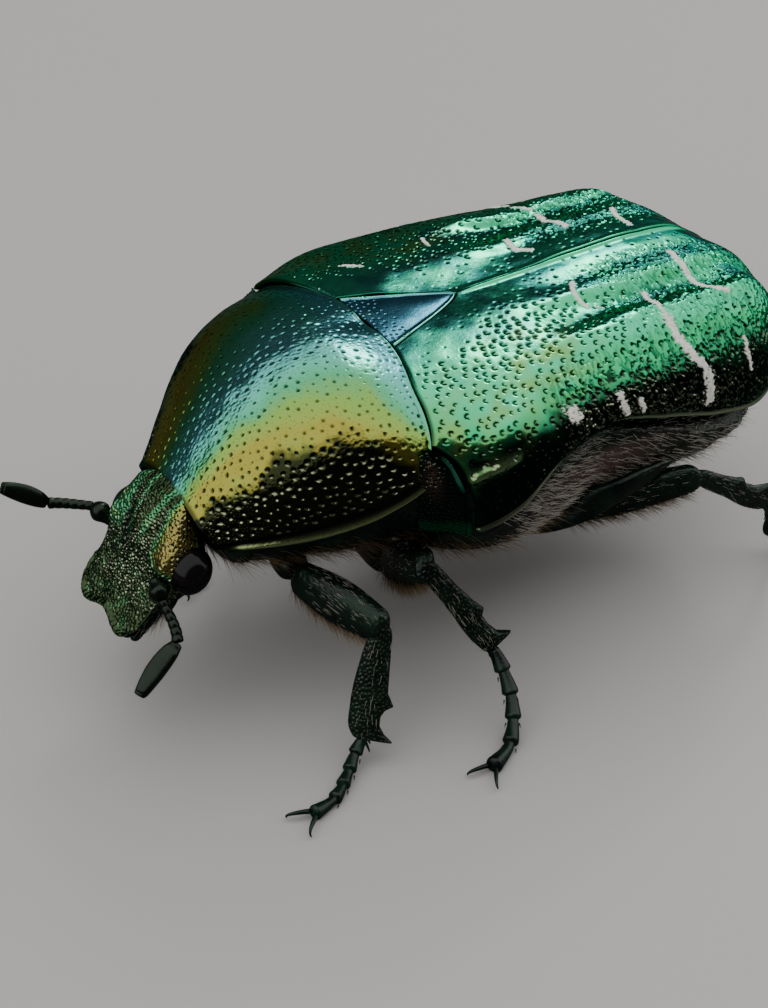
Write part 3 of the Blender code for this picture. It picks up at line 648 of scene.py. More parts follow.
def dome_spacing(count, start, end, share=0.22):
    """Shares along a tube, closer together where its ends are domed."""
    t = np.linspace(0, 1, count)
    back = np.clip((1 - t) / share, 0, 1)
    domed = start * (1 - np.cos(t / share * math.pi / 2))
    straight = start + (t - share) * (1 - start) / (1 - share)
    t = np.where(t < share, domed, straight)
    domed = 1 - end * (1 - np.cos(back * math.pi / 2))
    straight = t * (1 - end) / t[int((1 - share) * count)]
    return np.clip(np.where(back < 1, domed, straight), 0, 1)


# ---------------------------------------------------------------- making meshes
MERGE_DISTANCE = 0.0005  # of the seams and poles of closed pieces
PLAIN = {"pit": 0, "glint": 0}  # painted on pieces without pits


def deselect():
    bpy.ops.object.select_all(action="DESELECT")


def pick(objects):
    """Selects these objects and makes the first one active."""
    deselect()
    for obj in objects:
        obj.select_set(True)
    bpy.context.view_layer.objects.active = objects[0]


def lay_grid(name, points, painted, closed=False):
    """Adds a grid primitive, lays it over a block of points and paints values on its vertices."""
    along, across = points.shape[:2]
    deselect()
    bpy.ops.mesh.primitive_grid_add(x_subdivisions=across - 1, y_subdivisions=along - 1, size=1)
    obj = bpy.context.object
    obj.name = obj.data.name = name
    mesh = obj.data
    flat = np.empty(len(mesh.vertices) * 3, np.float32)
    mesh.vertices.foreach_get("co", flat)
    flat = flat.reshape(-1, 3)
    j = np.rint((flat[:, 0] + 0.5) * (across - 1)).astype(int)
    i = np.rint((flat[:, 1] + 0.5) * (along - 1)).astype(int)
    mesh.vertices.foreach_set("co", to_world(points[i, j]).astype(np.float32).ravel())
    for key, values in painted.items():
        paint = mesh.attributes.new(key, "FLOAT", "POINT")
        paint.data.foreach_set("value", np.broadcast_to(values, points.shape[:2])[i, j].astype(np.float32))
    mesh.update()
    bpy.ops.object.mode_set(mode="EDIT")
    bpy.ops.mesh.select_all(action="SELECT")
    if closed:
        bpy.ops.mesh.remove_doubles(threshold=MERGE_DISTANCE * MM)
        bpy.ops.mesh.select_all(action="SELECT")
        bpy.ops.mesh.normals_make_consistent(inside=False)
    else:
        natural = np.cross(np.gradient(points, axis=1), np.gradient(points, axis=0))
        if (natural * grid_normals(points)).sum() < 0:
            bpy.ops.mesh.flip_normals()
    bpy.ops.object.mode_set(mode="OBJECT")
    bpy.ops.object.shade_smooth()
    return obj


def lay_closed(name, block, painted=PLAIN):
    """The same round a block of points that closes on itself."""
    return lay_grid(name, block, painted, closed=True)


def with_lip(points, normals, painted, rings, heart):
    """Turns a block's border under. Each ring has a depth below it and a length towards heart."""
    made = points
    values = dict(painted)
    for k, (depth, inset) in enumerate(rings, 1):
        edge = np.pad(points, ((k, k), (k, k), (0, 0)), mode="edge")
        facing = np.pad(normals, ((k, k), (k, k), (0, 0)), mode="edge")
        ring = edge - facing * depth + unit(np.array(heart) - edge) * inset
        ring[1:-1, 1:-1] = made
        made = ring
        values = {key: np.pad(value, 1, mode="edge") for key, value in values.items()}
    return made, values


def joined(name, objects):
    """One object from several."""
    pick(objects)
    if len(objects) > 1:
        bpy.ops.object.join()
    obj = bpy.context.object
    obj.name = obj.data.name = name
    return obj


def settle(obj, material, nodes=()):
    """Gives a finished piece its material and its body, and hides the solids that it stands for."""
    obj.data.materials.clear()
    obj.data.materials.append(material)
    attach(obj, BODY)
    if nodes:
        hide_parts(*nodes)
    return obj


def cone(root, tip, radius, tip_radius, bend=(0, 0, 0), around=10, along=10):
    """A block of points for a tapered, bowed spine with a closed tip."""
    root, tip = np.array(root, float), np.array(tip, float)
    t = np.linspace(0, 1, along)
    path = root + (tip - root) * t[:, None] + np.array(bend) * (4 * t * (1 - t))[:, None]
    radii = radius + (tip_radius - radius) * t
    radii[0] = radii[-1] = 0
    path[0] = path[1] * 0.999 + path[0] * 0.001
    side = Vector(tip - root).orthogonal()
    return tube_block(path, radii, radii, side, around)


# ---------------------------------------------------------------- hair
HAIR_PATCH = 0.0012  # half the size of each hair's own patch of the unwrap


def add_hair(name, roots, places, headings, lengths, radius, seed, curl=0.12, droop=0.0, rings=4):
    """Many thin three-sided hairs as one mesh. places are the roots' spots on the skin's unwrap."""
    rng = np.random.default_rng(seed)
    count = len(roots)
    headings = unit(headings)
    t = np.linspace(0, 1, rings)
    bow = unit(np.cross(headings, rng.normal(size=(count, 3))))
    bow = bow * (curl * lengths * rng.uniform(0.3, 1.0, count))[:, None]
    sag = np.zeros((count, 3))
    sag[:, 2] = -droop * lengths
    path = (
        roots[:, None]
        + headings[:, None] * (lengths[:, None] * t)[..., None]
        + bow[:, None] * (t**2)[None, :, None]
        + sag[:, None] * (t**2)[None, :, None]
    )
    side = unit(np.cross(headings, rng.normal(size=(count, 3))))
    other = np.cross(headings, side)
    radii = radius * rng.uniform(0.7, 1.3, count)[:, None] * (1 - 0.85 * t)
    corners = np.arange(3) * math.tau / 3
    points = (
        path[:, :, None]
        + side[:, None, None] * (radii[..., None] * np.cos(corners))[..., None]
        + other[:, None, None] * (radii[..., None] * np.sin(corners))[..., None]
    )
    ring = np.arange(3)
    local = []
    for level in range(rings - 1):
        low, high = level * 3, level * 3 + 3
        for a in ring:
            b = (a + 1) % 3
            local.append((low + a, low + b, high + b, high + a))
    local = np.array(local)
    faces = (local[None] + (np.arange(count) * rings * 3)[:, None, None]).reshape(-1, 4)
    mesh = bpy.data.meshes.new(name)
    mesh.from_pydata(to_world(points.reshape(-1, 3)).tolist(), [], faces.tolist())
    around = np.tile(np.cos(corners), rings) * HAIR_PATCH
    upward = np.repeat(t, 3) * 2 * HAIR_PATCH - HAIR_PATCH
    patch = np.stack([around, upward], axis=1)
    spots = (np.asarray(places)[:, None] + patch[None]).reshape(-1, 2)
    unwrap = mesh.uv_layers.new(name="OFBake")
    unwrap.data.foreach_set("uv", spots[faces.ravel()].astype(np.float32).ravel())
    tip = mesh.attributes.new("tip", "FLOAT", "POINT")
    tip.data.foreach_set("value", np.tile(np.repeat(t, 3), count).astype(np.float32))
    shade = mesh.attributes.new("strand", "FLOAT", "POINT")
    shade.data.foreach_set("value", np.repeat(rng.uniform(0, 1, count), rings * 3).astype(np.float32))
    mesh.shade_smooth()
    obj = bpy.data.objects.new(name, mesh)
    bpy.context.scene.collection.objects.link(obj)
    return obj


def roots_on(points, normals, count, seed, chance):
    """Seeded roots over a block of points: places, normals, directions along the block and unwrap spots."""
    rng = np.random.default_rng(seed)
    weight = (cell_areas(points) * chance).ravel()
    chosen = rng.choice(weight.size, size=count, p=weight / weight.sum())
    i, j = np.divmod(chosen, points.shape[1])
    along = unit(np.gradient(points, axis=0))[i, j]
    shift = rng.uniform(-0.5, 0.5, (count, 2))
    step_i = np.gradient(points, axis=0)[i, j]
    step_j = np.gradient(points, axis=1)[i, j]
    spots = points[i, j] + step_i * shift[:, :1] + step_j * shift[:, 1:]
    unwrap = np.stack([j / (points.shape[1] - 1), i / (points.shape[0] - 1)], axis=1) * 0.98 + 0.01
    return spots, normals[i, j], along, unwrap, rng


# ---------------------------------------------------------------- materials
class Value:
    """A node's output that adds Math nodes when it is used in an expression."""

    def __init__(self, finish, socket):
        self.finish = finish
        self.socket = socket

    def math(self, operation, *others):
        return self.finish.node("ShaderNodeMath", {"operation": operation}, dict(enumerate((self, *others))))

    def __add__(self, other):
        return self.math("ADD", other)

    def __radd__(self, other):
        return self.math("ADD", other)

    def __sub__(self, other):
        return self.math("SUBTRACT", other)

    def __rsub__(self, other):
        return self.finish.node("ShaderNodeMath", {"operation": "SUBTRACT"}, {0: other, 1: self})

    def __mul__(self, other):
        return self.math("MULTIPLY", other)

    def __rmul__(self, other):
        return self.math("MULTIPLY", other)

    def __truediv__(self, other):
        return self.math("DIVIDE", other)

    def __pow__(self, other):
        return self.math("POWER", other)

    def clamp(self):
        return self.math("MAXIMUM", 0.0).math("MINIMUM", 1.0)


class Nodes:
    """A node tree that is built up by a few calls."""

    def __init__(self, tree):
        self.tree = tree

    def node(self, kind, options=(), sockets=(), output=0):
        """Adds a node: its options are set first, then its sockets get values or links."""
        made = self.tree.nodes.new(kind)
        for key, value in dict(options).items():
            if key == "stops":
                self.fill_ramp(made.color_ramp, value)
            else:
                setattr(made, key, value)
        for key, value in dict(sockets).items():
            self.plug(made.inputs[key], value)
        return Value(self, made.outputs[output])

    def rise(self, value, low, high):
        """0 below low, 1 above high and smooth between."""
        return self.node(
            "ShaderNodeMapRange",
            {"interpolation_type": "SMOOTHSTEP"},
            {"Value": value, "From Min": low, "From Max": high, "To Min": 0.0, "To Max": 1.0},
        )

    def fill_ramp(self, ramp, stops):
        while len(ramp.elements) < len(stops):
            ramp.elements.new(0.5)
        for element, (place, colour) in zip(ramp.elements, stops):
            element.position = place
            element.color = (*colour, 1)

    def plug(self, socket, value):
        if isinstance(value, Value):
            self.tree.links.new(value.socket, socket)
        elif hasattr(socket.default_value, "__len__") and len(value) == 3 and len(socket.default_value) == 4:
            socket.default_value = (*value, 1)
        else:
            socket.default_value = value


class Finish(Nodes):
    """One material: constants stand on its shader's own sockets, and set() gives what varies."""

    def __init__(self, name, **constants):
        self.material = bpy.data.materials.new(name)
        self.material.use_nodes = True
        super().__init__(self.material.node_tree)
        self.shader = self.tree.nodes["Principled BSDF"]
        for key, value in constants.items():
            self.shader.inputs[key.replace("_", " ")].default_value = value

    def set(self, **sockets):
        for key, value in sockets.items():
            self.plug(self.shader.inputs[key.replace("_", " ")], value)

    def painted(self, name):
        """A value painted on the vertices."""
        return self.node("ShaderNodeAttribute", {"attribute_name": name}, output="Fac")

    def place(self, scale=(1, 1, 1)):
        """Object coordinates in millimetres, stretched by scale."""
        here = self.node("ShaderNodeTexCoord", output="Object")
        size = tuple(s / MM for s in scale)
        return self.node("ShaderNodeMapping", {}, {"Vector": here, "Scale": size})

    def noise(self, scale, detail=3.0, rough=0.5, stretch=(1, 1, 1)):
        """Noise from 0 to 1, with scale grains to a millimetre."""
        return self.node(
            "ShaderNodeTexNoise",
            {},
            {"Vector": self.place(stretch), "Scale": scale, "Detail": detail, "Roughness": rough},
        )

    def cells(self, scale, feature="F1", output="Distance"):
        return self.node(
            "ShaderNodeTexVoronoi", {"feature": feature}, {"Vector": self.place(), "Scale": scale}, output
        )

    def mix(self, first, second, share):
        return self.node("ShaderNodeMix", {"data_type": "RGBA"}, {0: share, 6: first, 7: second}, 2)

    def ramp(self, share, stops):
        return self.node("ShaderNodeValToRGB", {"stops": stops}, {"Fac": share})

    def bump(self, height, strength, distance):
        return self.node(
            "ShaderNodeBump", {}, {"Height": height, "Strength": strength, "Distance": distance * MM}
        )


METAL = 0.96
SCALE_STOPS = ((0.25, (0.66, 0.62, 0.52)), (0.55, (0.98, 0.96, 0.89)))  # whites of the scale marks


def shell_finish(
    name,
    colours,
    stops,
    grain=9.0,
    roughness=0.14,
    edge=(0.2, 0.5, 0.6),
    warm=None,
    depth=0.30,
    glint=None,
):
    """Metallic shell: colour along stops as the surface turns, painted shade in pits and shaded parts,
    painted highlights, white scales.
    """
    finish = Finish(name, Metallic=METAL, Specular_Tint=(*edge, 1))
    turn = finish.painted("turn")
    cloud = finish.noise(0.9, 3.0)
    fine = finish.noise(grain, 4.0, 0.6)
    colour = finish.ramp(turn + (cloud - 0.5) * 0.12 + (fine - 0.5) * 0.05, stops)
    # a yellow-green tint; on the wing cases it also carries the painted highlight of the shoulder arc
    if warm:
        colour = finish.mix(colour, warm, finish.painted("warm") * 0.75)
    pit = finish.painted("pit")
    # painted shade in the pits and wrinkles
    colour = finish.mix(colour, colours.pit, (pit * 1.5).clamp())
    # painted shade and painted shadow, by the painted shade mask
    colour = finish.mix(colour, colours.shadow, finish.painted("shade") * 0.98)
    # painted highlight on upward pit walls, beads and ridges
    colour = finish.mix(colour, glint or colours.glint, finish.painted("glint"))
    scale_colour = finish.ramp(fine, SCALE_STOPS)
    white = finish.painted("white")
    finish.set(
        Base_Color=finish.mix(colour, scale_colour, white),
        Metallic=METAL - white * METAL,
        Roughness=roughness + (fine - 0.5) * 0.10 + pit * 0.10 + white * 0.5,
        Normal=finish.bump(fine + white * finish.noise(26.0, 2.0), depth, 0.012),
    )
    return finish.material


def pronotum_finish(colours):
    return shell_finish(
        "pronotum_shell",
        colours,
        (
            (0.00, colours.sky),
            (0.28, colours.mint),
            (0.50, colours.sea_green),
            (0.68, colours.leaf),
            (0.88, colours.gold),
            (1.00, colours.bronze),
        ),
        glint=colours.side_glint,
    )


def wing_case_finish(colours):
    return shell_finish(
        "wing_case_shell",
        colours,
        # from the top of the wing case to its steep sides; the dark end on the sides is partly painted shade
        (
            (0.00, colours.teal),
            (0.20, colours.jade),
            (0.48, colours.emerald),
            (0.75, colours.deep_green),
            (0.95, colours.black_green),
        ),
        edge=(0.3, 0.5, 0.45),
        warm=colours.leaf,
    )


def scutellum_finish(colours):
    return shell_finish(
        "scutellum_shell",
        colours,
        ((0.0, colours.slate), (0.5, colours.slate), (0.75, colours.sky), (1.0, colours.mint)),
        roughness=0.18,
    )


def head_finish(colours):
    return shell_finish(
        "head_shell",
        colours,
        (
            (0.00, colours.black_green),
            (0.26, colours.moss),
            (0.54, colours.sea_green),
            (0.72, colours.leaf),
            (1.00, colours.copper),
        ),
        grain=16.0,
        roughness=0.20,
        depth=0.75,
    )


def cuticle_finish(colours, name, green, coat=0.0):
    """Black-green legs and underside, with fine grain, a metallic sheen, painted shade in the pits and
    painted highlights on their upward walls.
    """
    finish = Finish(name, Specular_IOR_Level=0.4, Coat_Weight=coat)
    fine = finish.noise(14.0, 4.0, 0.65)
    cloud = finish.noise(1.6, 3.0)
    stops = ((0.38, colours.cuticle), (0.62, colours.black_green), (0.82, colours.moss))
    colour = finish.ramp(cloud * 0.6 + fine * 0.4, stops)
    # painted shade in the pits
    colour = finish.mix(colour, colours.pit, (finish.painted("pit") * 0.7).clamp())
    colour = finish.mix(colour, colours.scale_brown, finish.painted("scaly"))
    finish.set(
        # painted highlight on the pits' upward walls
        Base_Color=finish.mix(colour, colours.glint, finish.painted("glint") * 0.8),
        Metallic=green + (fine - 0.5) * 0.3,
        Roughness=0.24 + (fine - 0.5) * 0.20,
        Normal=finish.bump(fine, 0.5, 0.02),
    )
    return finish.material


def eye_finish(colours):
    finish = Finish("eye_gloss", Specular_IOR_Level=0.20)
    facets = finish.cells(22.0)
    finish.set(
        Base_Color=finish.mix(colours.eye, (0.007, 0.005, 0.006), facets),
        Roughness=0.05 + facets * 0.04,
        Coat_Weight=0.03 + facets * 0.03,
        Normal=finish.bump(1 - facets, 0.10, 0.006),
    )
    return finish.material


def hair_finish(name, root, tip):
    finish = Finish(name, Roughness=0.45)
    strand = finish.painted("strand")
    colour = finish.mix(root, tip, finish.painted("tip") ** 0.7)
    finish.set(
        Base_Color=finish.mix(colour, tip, strand * 0.4),
        Roughness=0.5 - strand * 0.15,
    )
    return finish.material


# ---------------------------------------------------------------- pronotum
def pronotum_hind(x):
    return smooth(PRONOTUM_HIND, np.abs(x))


def pronotum_skin(u, v):
    across = 2 * u - 1
    half_width = column(PRONOTUM_STATIONS, 2, v)
    crest = column(PRONOTUM_STATIONS, 1, v)
    margin = column(PRONOTUM_STATIONS, 3, v)
    angle = across * math.pi / 2
    power = 2 / PRONOTUM_SQUARENESS
    x = half_width * np.sign(across) * np.abs(np.sin(angle)) ** power
    z = margin + (crest - margin) * np.abs(np.cos(angle)) ** power
    front = smooth(PRONOTUM_FRONT, np.abs(across))
    y = front + (pronotum_hind(x) - front) * v
    return x, y, z


def raised(normals, changed, gain, closed=False):
    """How much of each place has turned upwards by its fine relief, from 0 to 1."""
    return np.clip((grid_normals(changed, closed)[..., 2] - normals[..., 2]) * gain, 0, 1)


def pronotum_tone(u, v, points):
    """0 at the crest to about 1 at the golden sides, lower again towards the hind edge."""
    tone = 0.86 * np.abs(2 * u - 1) / smooth(GOLDEN_SIDE, v)
    return np.clip(tone, 0, 1) + 0.05 * ripple(points, 1.4, 8) + 0.03 * ripple(points, 0.5, 9)


def build_pronotum(sizes, colours):
    u, v, points = sample(pronotum_skin, *PRONOTUM_GRID)
    side = np.abs(2 * u - 1)
    swell = 0.24 * bump(side - 0.66, 0.26) * bump(v - 0.42, 0.30)
    points = points + grid_normals(points) * swell[..., None]
    normals = grid_normals(points)
    wave = 0.035 * ripple(points, 0.9, 3) + 0.020 * ripple(points, 0.3, 4)
    # the coarsely pitted sides: bigger pits and painted shade
    low = ease(side + wave - smooth(SHADED_PITTED_SIDE, v), -0.03, 0.07)
    spacing = 0.20 - 0.02 * low - 0.045 * ease(v, 0.75, 1.0) * (1 - low)
    places = scatter(points, spacing, 12000, 11)
    rng = np.random.default_rng(12)
    size = sizes.pit_radius / MM
    radii = np.array([size * (1 + 0.65 * low[i, j]) for i, j in places])
    radii = radii * rng.uniform(0.6, 1.35, len(places))
    pit = stamp(points, places, radii, round_pit)
    specks = scatter(points, 0.07, 9000, 13, chance=0.3 + low)
    pit = np.maximum(pit, 0.40 * stamp(points, specks, np.full(len(specks), 0.022), round_pit))
    bead_side = bump(1 - side, 0.019) * ease(v, 0.05, 0.12)
    bead_hind = ease(v, 0.984, 0.993)
    bead_front = ease(-v, -0.020, -0.008)
    gutter = bump(1 - side - 0.038, 0.018)
    edge = np.clip(bead_side + bead_hind + bead_front, 0, 1)
    pit = pit * (1 - edge) * (1 - ease(side, 0.915, 0.94))
    relief = (
        -(PIT_DEPTH + SIDE_PIT_DEPTH * low) * pit
        + MARGIN_BEAD * bead_side
        + HIND_BEAD * bead_hind
        + FRONT_BEAD * bead_front
        - MARGIN_GUTTER * gutter
        + 0.006 * ripple(points, 0.9, 5)
        + 0.0015 * ripple(points, 0.10, 6)
        - 0.04 * bump(np.abs(u - 0.5), 0.02) * ease(v, 0.80, 0.97)
    )
    changed = points + normals * relief[..., None]
    # painted highlight on the pits' upward walls
    lit = ease(raised(normals, changed, 1.3), 0.10, 0.85)
    glint = lit * ease(pit, 0.0, 0.25) * 0.95
    tone = pronotum_tone(u, v, points)
    tone = tone - 0.30 * bump(v - 0.98, 0.10) * (1 - ease(side, 0.50, 0.76))
    # the beads are painted lighter: painted highlight
    tone = tone * (1 - bead_hind) + bead_hind * 0.35
    tone = tone * (1 - bead_side) + bead_side * 0.66
    # painted shade on the pitted sides, in the gutter and along the front edge by the head
    shade = np.clip((0.95 * low + 0.7 * gutter) * (1 - bead_side) + bead_front * 0.8, 0, 1)
    glint = np.maximum(glint, 0.6 * bead_side)
    painted = {
        "turn": tone,
        "pit": pit * (0.62 + 0.38 * low),
        "shade": shade,
        "white": 0.0 * pit,
        "glint": glint,
    }
    points, painted = with_lip(changed, normals, painted, PRONOTUM_LIP, (0, -2.4, -2.4))
    shell = lay_grid("pronotum_shell", points, painted)
    settle(shell, pronotum_finish(colours), ["pronotum"])


# ---------------------------------------------------------------- scutellum and wing cases
def scutellum_half_width(y):
    """Half-width of the little triangle between the wing cases, with straight sides and a round tip."""
    share = np.clip(y / SCUTELLUM_LENGTH, 0, 1)
    return SCUTELLUM_HALF_WIDTH * np.sqrt(np.clip(1 - share, 0, 1)) * np.sqrt(1 - 0.55 * share)


def scutellum_skin(u, v):
    y = 0.06 + (SCUTELLUM_LENGTH - 0.08) * v
    x = (2 * u - 1) * (scutellum_half_width(y) - SEAM)
    return x, y, 0.05 * (1 - (2 * u - 1) ** 2) - 0.02 - 0.03 * v


def build_scutellum(colours):
    u, v, points = sample(scutellum_skin, *SCUTELLUM_GRID)
    normals = np.zeros_like(points)
    normals[..., 2] = 1
    side = np.abs(2 * u - 1)
    places = scatter(points, 0.13, 900, 21, chance=np.clip(0.30 - v, 0.0, 1) ** 2 + 1e-7)[:70]
    pit = stamp(points, places, np.full(len(places), 0.030), round_pit)
    room = (1 - side) * scutellum_half_width(points[..., 1])
    rim = bump(room - 0.07, 0.07)
    relief = -0.016 * pit - 0.09 * ease(-room, -0.05, 0.0) + 0.030 * rim + 0.003 * ripple(points, 1.0, 22)
    changed = points + normals * relief[..., None]
    # the rim is painted towards mint as a painted highlight, and the pits' upward walls get a painted
    # highlight
    tone = 0.40 + 0.20 * ripple(points, 0.8, 23) + 0.75 * rim
    glint = raised(normals, changed, 1.0) * pit
    painted = {"turn": tone, "pit": 0.6 * pit, "shade": 0.0 * pit, "white": 0.0 * pit, "glint": glint}
    points, painted = with_lip(changed, normals, painted, SCUTELLUM_LIP, (0, 1.0, -1.0))
    shell = lay_grid("scutellum_shell", points, painted)
    settle(shell, scutellum_finish(colours), ["scutellum"])


def wing_case_section(y, share):
    """x and z of a wing case at y. share runs from the crest, 0, round to the side margin, 1."""
    crest, wide_x, wide_z, margin_x, margin_z = (column(WING_CASE_STATIONS, k, y) for k in range(1, 6))
    upper = np.clip(share / UPPER_SHARE, 0, 1) * math.pi / 2
    lower = np.clip((share - UPPER_SHARE) / (1 - UPPER_SHARE), 0, 1) * LAST_TURN
    power = 2 / SQUARENESS
    x = np.where(
        share <= UPPER_SHARE,
        wide_x * np.sin(upper) ** power,
        margin_x + (wide_x - margin_x) * (np.cos(lower) - math.cos(LAST_TURN)) / (1 - math.cos(LAST_TURN)),
    )
    z = np.where(
        share <= UPPER_SHARE,
        wide_z + (crest - wide_z) * np.cos(upper) ** power,
        wide_z - (wide_z - margin_z) * np.sin(lower) / math.sin(LAST_TURN),
    )
    return x, z, upper


def wing_case_front(share):
    """y of the front edge: along the pronotum's hind edge, then back below its corner."""
    edge = smooth(WING_CASE_FRONT, share)
    front = edge
    for _ in range(5):
        x, _, _ = wing_case_section(front, share)
        behind = pronotum_hind(x) - SEAM
        front = np.where(share < FRONT_CORNER, behind, np.maximum(edge, behind))
    return front


def wing_case_skin(side):
    """One wing case's surface. side is 1 for the left and -1 for the right."""

    def skin(u, v):
        front = wing_case_front(0.094 + 0.906 * u)
        rear = smooth(WING_CASE_REAR, u)
        y = front + (rear - front) * np.sin(v * math.pi / 2) ** 1.1
        inner_x = np.where(y < SCUTELLUM_LENGTH, scutellum_half_width(y), 0) + SEAM / 3
        wide_x = column(WING_CASE_STATIONS, 2, y)
        start = UPPER_SHARE * 2 / math.pi * np.arcsin((inner_x / wide_x) ** (SQUARENESS / 2))
        x, z, _ = wing_case_section(y, start + (1 - start) * u)
        return side * x, y, z

    return skin


def wing_case_relief(points, out, side):
    """The wing case's broad forms. out is the distance from the inner edge over the surface."""
    form = WING_CASE_FORMS[side]
    y = points[..., 1]
    inward = np.abs(points[..., 0])
    drift = 0.12 * ripple(points * (1, 0.5, 1), 1.6, 30)
    behind = ease(y, 3.0, 5.6) * (1 - ease(y, 9.4, 10.8))
    ribs = smooth(REAR_PROFILE, out + drift) * behind
    beside = (1 - ease(inward, 0.20, form["reach"])) * ease(y, 0.6, 2.0) * (1 - ease(y, 4.6, 6.4))
    valley = -form["valley"] * beside
    seam_ridge = 0.035 * bump(out - 0.07, 0.08) * ease(y, 2.6, 3.4)
    tail = form["tail"] * bump(out - 1.3, 0.9) * bump(y - 11.0, 0.7)
    shoulder = form["shoulder"] * bump(out - 4.35, 0.62) * bump(y - 1.15, 0.85)
    knob = form["knob"] * bump(out - 3.0, 0.85) * bump(y - 10.3, 0.85)
    flat = -form["flat"] * bump(out - 3.4, 1.1) * (bump(y - 0.8, 1.8) + bump(y - 7.4, 1.9))
    return ribs + valley + seam_ridge + shoulder + knob + flat + tail


def build_wing_case(side, word, marks, sizes, material):
    _, _, points = sample(wing_case_skin(side), *WING_CASE_GRID)
    normals = grid_normals(points)
    out = arc_lengths(points)
    y = points[..., 1]
    ahead = y - y[:1]
    to_margin = out[:, -1:] - out
    points = points + normals * wing_case_relief(points, out, side)[..., None]
    normals = grid_normals(points)
    turn = np.abs(normals[..., 0])
    disc = (1 - ease(y, 4.6, 7.2)) * (1 - ease(out, 4.5, 5.2)) * ease(out, 1.0, 1.7)
    places = scatter(points, 0.205 - 0.02 * (1 - disc), 12000, 31 + side)
    rng = np.random.default_rng(33 + side)
    shoes, dots = [], []
    for i, j in places:
        if rng.uniform() < 0.04 + 0.96 * disc[i, j]:
            shoes.append((i, j))
        elif rng.uniform() < 0.45 + 0.4 * float(out[i, j] > 3.6):
            dots.append((i, j))
    size = sizes.horseshoe_radius / MM
    groove = stamp(points, shoes, size * rng.uniform(0.80, 1.20, len(shoes)), horseshoe)
    dimple = stamp(points, dots, size * rng.uniform(0.34, 0.55, len(dots)), round_pit)
    edge = ease(-to_margin, -0.22, -0.12)
    calm = ease(out, 0.10, 0.25) * ease(ahead, 0.08, 0.20) * (1 - edge)
    plain = bump(out - 0.5, 0.55) * (1 - ease(y, 3.4, 5.0))
    calm = calm * (1 - 0.85 * plain)
    rough = ease(out, 3.4, 4.2) * ease(y, 2.0, 3.4) + 0.9 * ease(y, 5.0, 7.4) + ease(y, 9.8, 10.8)
    rough = np.clip(rough, 0, 1) * (1 - edge) * ease(out, 0.5, 1.0)
    lean = y + 0.38 * out + 0.12 * ripple(points, 0.8, 35) + 0.06 * ripple(points, 0.22, 36)
    strand = np.sin(lean * math.tau / 0.165) * 0.5 + 0.5
    broken = ease(ripple(points * (1, 2.4, 1), 0.50, 37), -0.30, 0.30)
    crease = ease(0.30 - np.abs(ripple(points * (1.0, 2.4, 1.0), 0.55, 48)), 0.0, 0.24)
    wrinkle = rough * np.maximum(0.7 * broken * ease(strand, 0.30, 0.95), crease)
    # the pits and wrinkles in this mask are painted darker as painted shade
    pit = np.clip(np.maximum(groove, dimple) * calm + 0.38 * wrinkle, 0, 1)
    bead = bump(to_margin - 0.055, 0.045)
    gutter = bump(to_margin - 0.15, 0.05)
    arc = bump(out - (4.52 + 0.36 * y), 0.12) * ease(y, -0.25, 0.0) * (1 - ease(y, 0.85, 1.25))
    fold = bump(out - (4.22 + 0.76 * y), 0.10) * ease(y, -0.25, 0.0) * (1 - ease(y, 0.75, 1.10))
    relief = (
        -sizes.groove_depth / MM * groove * calm
        - DIMPLE_DEPTH * dimple * calm
        - WRINKLE_DEPTH * wrinkle
        + WING_BEAD * bead
        - WING_GUTTER * gutter
        + ARC_HEIGHT * arc
        - FOLD_DEPTH * fold
        - 0.055 * (1 - ease(ahead, 0.0, 0.12))
        + 0.004 * ripple(points, 0.8, 38)
        + 0.004 * rough * ripple(points, 0.09, 43)
    )
    spots = np.stack([y, out], axis=-1)
    wobble = 1 + 0.40 * ripple(points, 0.16, 39) + 0.30 * ripple(points, 0.06, 40)
    white = np.zeros_like(pit)
    for stroke, half_width in marks:
        away = stroke_distance(spots, stroke) / (half_width * wobble)
        white = np.maximum(white, ease(1.2 - away, 0.0, 0.3))
    relief = relief * (1 - 0.8 * white) + white * (SCALE_HEIGHT + 0.008 * ripple(points, 0.06, 41))
    changed = points + normals * relief[..., None]
    tone = turn + 0.05 * ripple(points, 1.6, 42) + 0.03 * ripple(points, 0.5, 44)
    # the rib and the shoulder arc are painted lighter: painted highlight
    rib = bump(out - 3.4, 0.55) * ease(y, 3.4, 5.2)
    tone = tone + (0.20 - tone) * 0.8 * rib
    tone = tone * (1 - arc) + 0.40 * arc
    # painted shade: the lower sides, the wrinkles on the flank, a band beside the seam, the hollow, the
    # tail, the seam, gutter and fold, and the front edge under the pronotum
    low = 0.84 * ease(out + 0.10 * ripple(points, 0.6, 46) - 0.5 * bump(y - 9.0, 2.5), 4.55, 5.25)
    streak = 0.9 * wrinkle * ease(out, 3.9, 4.6)
    inward = np.abs(points[..., 0])
    shade_band = bump(inward - 1.0, 0.45) * ease(-y, -6.0, -4.2) * ease(y, 1.2, 2.4)
    shade_band = WING_CASE_FORMS[side]["shade_band"] * shade_band
    hollow = 0.62 * bump(out - 2.40, 0.48) * ease(y, 4.4, 5.6) * (1 - ease(y, 8.6, 9.6))
    hollow = hollow * (0.6 + 0.6 * wrinkle)
    tail = 0.45 * ease(y + 0.15 * ripple(points, 0.7, 47), 9.9, 10.9)
    seam = 0.55 * bump(out - 0.03, 0.08) * ease(y, 2.6, 3.4)
    front = 0.8 * (1 - ease(ahead, 0.03, 0.09))
    shade = np.clip(low + streak + shade_band + hollow + tail + seam + 0.9 * gutter + fold, 0, 1)
    shade = shade * (1 - np.clip(1.8 * arc, 0, 1)) * (1 - bead)
    shade = np.maximum(shade, front)
